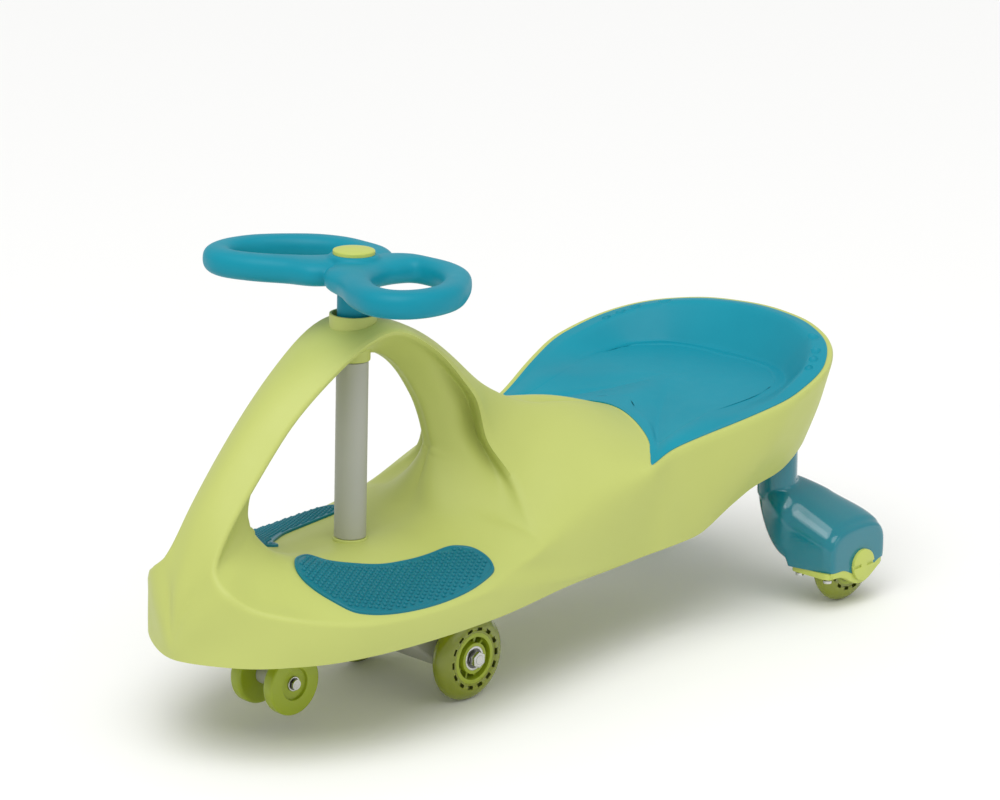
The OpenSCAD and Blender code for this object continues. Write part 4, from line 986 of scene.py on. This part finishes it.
def guard_ring(g, trim=0.0, x_shift=0.0, points=72):
    """Section of the mudguard from its shares, drawn in by trim."""
    low = g[3] - LOW_OVER if g[3] < LOW_SHARE else g[3]
    y0, y1 = g[1] * GUARD_LEN + trim, g[2] * GUARD_LEN - trim
    z0, z1 = low * GUARD_H + trim, g[4] * GUARD_H - trim
    ring = []
    for i in range(points):
        a = 2 * math.pi * i / points
        c, s = math.cos(a), math.sin(a)
        p = LOW_POWER if s < 0 else HIGH_POWER
        y = y0 + (y1 - y0) * (1 + power(c, p)) / 2
        z = z0 + (z1 - z0) * (1 + power(s, p)) / 2
        ring.append(Vector((GUARD_IN_X + g[0] * GUARD_W + x_shift, REAR_Y + y, z)))
    return ring


def parting_h(x, y):
    """Height of the line where guard and base plate meet: it dips round the axle's end."""
    near = max(0.0, 1 - ((y - REAR_Y) / DIP_REACH) ** 2)
    out = max(0.0, min(1.0, (x - DIP_FROM) / DIP_SPAN))
    return PARTING_H - DIP * near * near * out


def rings_object(name, rings):
    mesh = grid_mesh(name, rings, caps=True)
    mesh.transform(Matrix.Translation((0, -MIDDLE_Y * MM, 0)))
    return new_object(name, mesh)


def well_cutter():
    """Round-topped cutter that makes room for a rear wheel."""
    steps = 64
    rows = []
    for x in (REAR_X - WELL_HALF, REAR_X + WELL_HALF):
        ring = []
        for i in range(steps + 1):
            a = math.pi * i / steps
            ring.append(Vector((x, REAR_Y + WELL_R * math.cos(a), AXLE_H + WELL_R * math.sin(a))))
        ring.append(Vector((x, REAR_Y - WELL_R, WELL_LOW_H)))
        ring.append(Vector((x, REAR_Y + WELL_R, WELL_LOW_H)))
        rows.append(ring)
    return rings_object("well", rows)


def below_parting():
    """Cutter that takes away all that lies under the parting line."""
    xs = [GUARD_IN_X - 30 + i * 4 for i in range(40)]
    ys = [REAR_Y - 80 + i * 4 for i in range(41)]
    top = [Vector((x, y, parting_h(x, y))) for x in xs for y in ys]
    bottom = [Vector((p.x, p.y, BELOW_LOW_H)) for p in top]
    return new_object("below", slab_mesh("below", top, bottom, len(ys)))


def mirror_copy(obj, name):
    mesh = obj.data.copy()
    mesh.transform(MIRROR_X)
    mesh.flip_normals()
    mesh.name = name
    return new_object(name, mesh)


def make_rear_legs():
    rings = []
    last = len(GUARD) - 1
    for i in range(last):
        a, b, c, d = (Vector(GUARD[max(0, min(last, i + o))]) for o in (-1, 0, 1, 2))
        rings += [guard_ring(bend(a, b, c, d, s / GUARD_STEPS)) for s in range(GUARD_STEPS)]
    end_x = GUARD_IN_X + GUARD_W - GUARD_EASE
    eased = []
    for i in range(EASE_STEPS + 1):
        a = math.pi / 2 * i / EASE_STEPS
        trim, shift = GUARD_EASE * (1 - math.cos(a)), GUARD_EASE * (math.sin(a) - 1)
        eased.append(guard_ring(GUARD[-1], trim, shift))
    rings = [r for r in rings + eased if r[0].x <= end_x + 0.01] + eased[1:]
    guard = rings_object("guard", rings)
    post = lathe("post", tube(AXIS_R, POST_R, POST_LEN, 2),
                 Matrix.Translation(to_frame(Vector((POST_X, POST_Y, POST_LOW_H)))))
    leg = joined("leg_moulding_left", [guard, post])
    fused(leg, MELT, 14)
    low = below_parting()
    well = well_cutter()
    cut(leg, low)
    cut(leg, well)
    shade(leg, 40)
    give(leg, TEAL_GLOSS)
    remove(low)
    base = make_base(well)
    remove(well)
    for made, kind, slot in ((leg, "leg", "teal_gloss"), (base, "base", "lime_body")):
        other = mirror_copy(made, kind + "_moulding_right")
        finish_piece(made, None, "body", slot, f"rear_{kind}_left")
        finish_piece(other, None, "body", slot, f"rear_{kind}_right")


def make_base(well):
    """Lime plate under a mudguard; its lower face hangs lower round the axle."""
    x0, x1 = REAR_X - WELL_HALF - BASE_IN, GUARD_IN_X + GUARD_W
    y0, y1 = REAR_Y - BASE_FRONT * GUARD_LEN, REAR_Y + BASE_BACK * GUARD_LEN
    top, bottom = [], []
    for i in range(BASE_ACROSS + 1):
        for k in range(BASE_ALONG + 1):
            u, v = 2 * i / BASE_ACROSS - 1, 2 * k / BASE_ALONG - 1
            corner = 1 - BASE_CORNER * u ** 8 * v ** 8
            x = (x0 + x1) / 2 + (x1 - x0) / 2 * u * corner
            y = (y0 + y1) / 2 + (y1 - y0) / 2 * v * corner
            h = parting_h(x, y) - BASE_GAP
            near = max(0.0, 1 - ((y - REAR_Y) / BULGE_REACH) ** 2)
            rim = max(0.0, (max(abs(u), abs(v)) - RIM_FROM) / (1 - RIM_FROM))
            top.append(Vector((x, y, h)))
            bottom.append(Vector((x, y, h - BASE_T - BULGE * near + RIM_LESS * rim)))
    obj = new_object("base_moulding_left", slab_mesh("base", top, bottom, BASE_ALONG + 1))
    cut(obj, well)
    shade(obj, 40)
    give(obj, LIME_CAP)
    return obj


# road wheels: the tyre's inner part, its round tread, the slots in its faces, and the bearings' shields
TYRE_IN_R, TYRE_LIP_R, TYRE_LIP = 23.05, 25.0, 9.5
TREAD_IN_R, TREAD_RISE, TREAD_HALF, TREAD_POWER = 26.4, 13.6, 10.5, 1.4
SLOTS, SLOT_HALF, SLOT_R, SLOT_H = 14, 3.0, (25.1, 28.4), (7.0, 12.0)
SHIELD_R, SHIELD_H = (6.1, 8.9), (8.6, 9.15)
# anti-tip wheels: radius, place along the axle and rounding of roller, race and shield
ROLLER = ((6.55, 0, 0.4), (28, 0, 4), (28, 12, 2.5), (14.2, 12, 0.8), (14.0, 9, 0.5), (6.55, 9, 0.3))
RACE = ((5.0, 0.2), (6.5, 0.2), (6.5, 10.6, 0.4), (5.0, 10.6, 0.4))
TIP_SHIELD = ((2.55, 0.2), (4.95, 0.2), (4.95, 10.0), (2.55, 10.0))


def tyre_profile():
    out = [(TYRE_IN_R, -TYRE_LIP), (TYRE_LIP_R, -TYRE_LIP)]
    steps = 26
    for i in range(steps + 1):
        a = -math.pi / 2 + math.pi * i / steps
        rise = max(0.0, math.cos(a)) ** TREAD_POWER
        out.append((TREAD_IN_R + TREAD_RISE * rise, TREAD_HALF * math.sin(a)))
    return [Vector(p) for p in out + [(TYRE_LIP_R, TYRE_LIP), (TYRE_IN_R, TYRE_LIP)]]


def slot_cutter():
    verts, faces = [], []
    near, far = SLOT_R
    for face in (1, -1):
        for i in range(SLOTS):
            a = 2 * math.pi * (i + 0.5) / SLOTS
            b = len(verts)
            for h in SLOT_H:
                for r, way in ((near, -1), (far, -1), (far, 1), (near, 1)):
                    t = a + way * SLOT_HALF / r
                    verts.append(Vector((r * math.cos(t), r * math.sin(t), h * face)) * MM)
            faces += [(b, b + 3, b + 2, b + 1), (b + 4, b + 5, b + 6, b + 7)]
            faces += bands(b, 2, 4)
    obj = new_object("slots", closed_mesh("slots", verts, faces))
    give(obj, SLOT_PAINTED_SHADE)
    return obj


def make_wheels():
    pattern = lathe("tyre_pattern", tyre_profile(), Matrix.Identity(4), 128)
    give(pattern, TYRE)
    slots = slot_cutter()
    # the slot faces take the cutter's material: painted shade inside the slots
    cut(pattern, slots, "TRANSFER")
    remove(slots)
    shade(pattern, 35)
    near, far = SHIELD_R
    for name, x, y in (("front_left", FRONT_X, FRONT_Y), ("front_right", -FRONT_X, FRONT_Y),
                       ("rear_left", REAR_X, REAR_Y), ("rear_right", -REAR_X, REAR_Y)):
        wheel = name + "_wheel"
        spot = wheel_matrix(x, y, AXLE_H)
        mesh = pattern.data.copy()
        mesh.transform(spot)
        tyre = new_object(name + "_cast_tyre", mesh)
        finish_piece(tyre, None, wheel, "clear_tyre", name + "_tyre")
        hub = eased_copy(name + "_spoked_hub", name + "_hub", 0.35, 2)
        finish_piece(hub, LIME_GLOSS, wheel, "lime_wheel", name + "_hub")
        races = eased_copy(name + "_bearing_races", name + "_bearings", 0.25, 2)
        finish_piece(races, STEEL, wheel, "steel", name + "_bearings")
        for face, where in ((1, "out"), (-1, "in")):
            low, high = (h * face for h in SHIELD_H)
            shield = lathe(f"{name}_shield_{where}", [
                (near, low), (far, low), (far, high, 0.15), (near, high, 0.15)], spot)
            finish_piece(shield, DARK_STEEL, wheel, "steel")
    remove(pattern)
    nuts = eased_copy("front_nuts_eased", "front_axle_nuts", 0.5, 2)
    finish_piece(nuts, STEEL, "steering", "steel", "front_axle_nuts")


def make_tip_wheels():
    spot = wheel_matrix(TIP_X, TIP_Y, TIP_H)
    for side, name in ((1, "left"), (-1, "right")):
        wheel = lathe("tip_roller_" + name, ROLLER, spot, 112, 5)
        ring = lathe("tip_race_" + name, RACE, spot, 64)
        core = lathe("tip_shield_" + name, TIP_SHIELD, spot, 48)
        made = [(wheel, LIME_GLOSS, "lime_wheel", "tip_wheel_" + name),
                (ring, STEEL, "steel", "tip_bearing_" + name), (core, DARK_STEEL, "steel", None)]
        for obj, material, slot, node in made:
            if side < 0:
                obj.data.transform(MIRROR_X)
                obj.data.flip_normals()
            finish_piece(obj, material, "tip_" + name, slot, *([node] if node else []))


def make_axle_caps():
    for name in ("left", "right"):
        cap = eased_copy("axle_cap_" + name, "rear_cap_" + name, 0.6, 3)
        finish_piece(cap, LIME_CAP, "body", "lime_body", "rear_cap_" + name)


body_tree = surface_of(make_body())
make_seat()
make_pad(1, "left")
make_pad(-1, "right")
make_steering_wheel()
make_rear_legs()
make_wheels()
make_tip_wheels()
make_axle_caps()


# floor, camera and light; here places and sizes are in metres
FLOOR_HALF, FLOOR_COLOUR, FLOOR_ROUGHNESS = 12.0, (0.93, 0.93, 0.92, 1), 0.9
CAMERA_ROUND, CAMERA_UP, CAMERA_PLACE = math.radians(44.1), math.radians(16.6), (2.1673, -2.2241, 1.1650)
LENS, SENSOR_W, CLIP_END = 130.36, 36, 60
SKY, SUN, SUN_ANGLE, SUN_WAY = 0.62, 1.35, 0.9, (-0.25, 0.35, -1)
# name, place, target, side and power of the area lights
AREA_LIGHTS = (("key", (0.6, -1.6, 2.6), (0, 0, 0.15), 1.8, 16),
               ("fill", (2.6, 0.6, 1.2), (0, 0, 0.2), 1.6, 6))


def make_floor():
    corners = [(x * FLOOR_HALF, y * FLOOR_HALF, 0) for x, y in ((-1, -1), (1, -1), (1, 1), (-1, 1))]
    obj = new_object("floor", new_mesh("floor", corners, [(0, 1, 2, 3)]))
    mat = bpy.data.materials.new("floor_paper")
    mat.use_nodes = True
    shader = mat.node_tree.nodes["Principled BSDF"]
    shader.inputs["Base Color"].default_value = FLOOR_COLOUR
    shader.inputs["Roughness"].default_value = FLOOR_ROUGHNESS
    give(obj, mat)


def make_camera():
    az, el = CAMERA_ROUND, CAMERA_UP
    right = Vector((math.cos(az), math.sin(az), 0))
    back = Vector((math.sin(az) * math.cos(el), -math.cos(az) * math.cos(el), math.sin(el)))
    up = back.cross(right)
    cam = bpy.data.cameras.new("camera")
    cam.sensor_width = SENSOR_W
    cam.sensor_fit = "HORIZONTAL"
    cam.lens = LENS
    cam.clip_end = CLIP_END
    obj = new_object("camera", cam)
    rotation = Matrix((right, up, back)).transposed().to_4x4()
    obj.matrix_world = Matrix.Translation(Vector(CAMERA_PLACE)) @ rotation
    bpy.context.scene.camera = obj


def aim(obj, way):
    obj.rotation_euler = Vector(way).to_track_quat("-Z", "Y").to_euler()


def make_light():
    world = bpy.data.worlds.new("studio")
    bpy.context.scene.world = world
    world.use_nodes = True
    sky = world.node_tree.nodes["Background"]
    sky.inputs["Color"].default_value = (1, 1, 1, 1)
    sky.inputs["Strength"].default_value = SKY
    for name, spot, target, side, energy in AREA_LIGHTS:
        light = bpy.data.lights.new(name, "AREA")
        light.shape = "RECTANGLE"
        light.size = light.size_y = side
        light.energy = energy
        obj = new_object(name, light)
        obj.location = spot
        aim(obj, Vector(target) - Vector(spot))
    sun = bpy.data.lights.new("sun", "SUN")
    sun.energy = SUN
    sun.angle = SUN_ANGLE
    aim(new_object("sun", sun), SUN_WAY)
    bpy.context.scene.view_settings.view_transform = "Standard"


make_floor()
make_camera()
make_light()
# CAD nodes that stay in sight: the bushes are grey plastic, the rest is steel
for node, obj in nodes.items():
    if not obj.hide_render:
        for i in range(len(obj.data.materials)):
            obj.data.materials[i] = GREY if node in ("upper_bush", "lower_bush") else STEEL
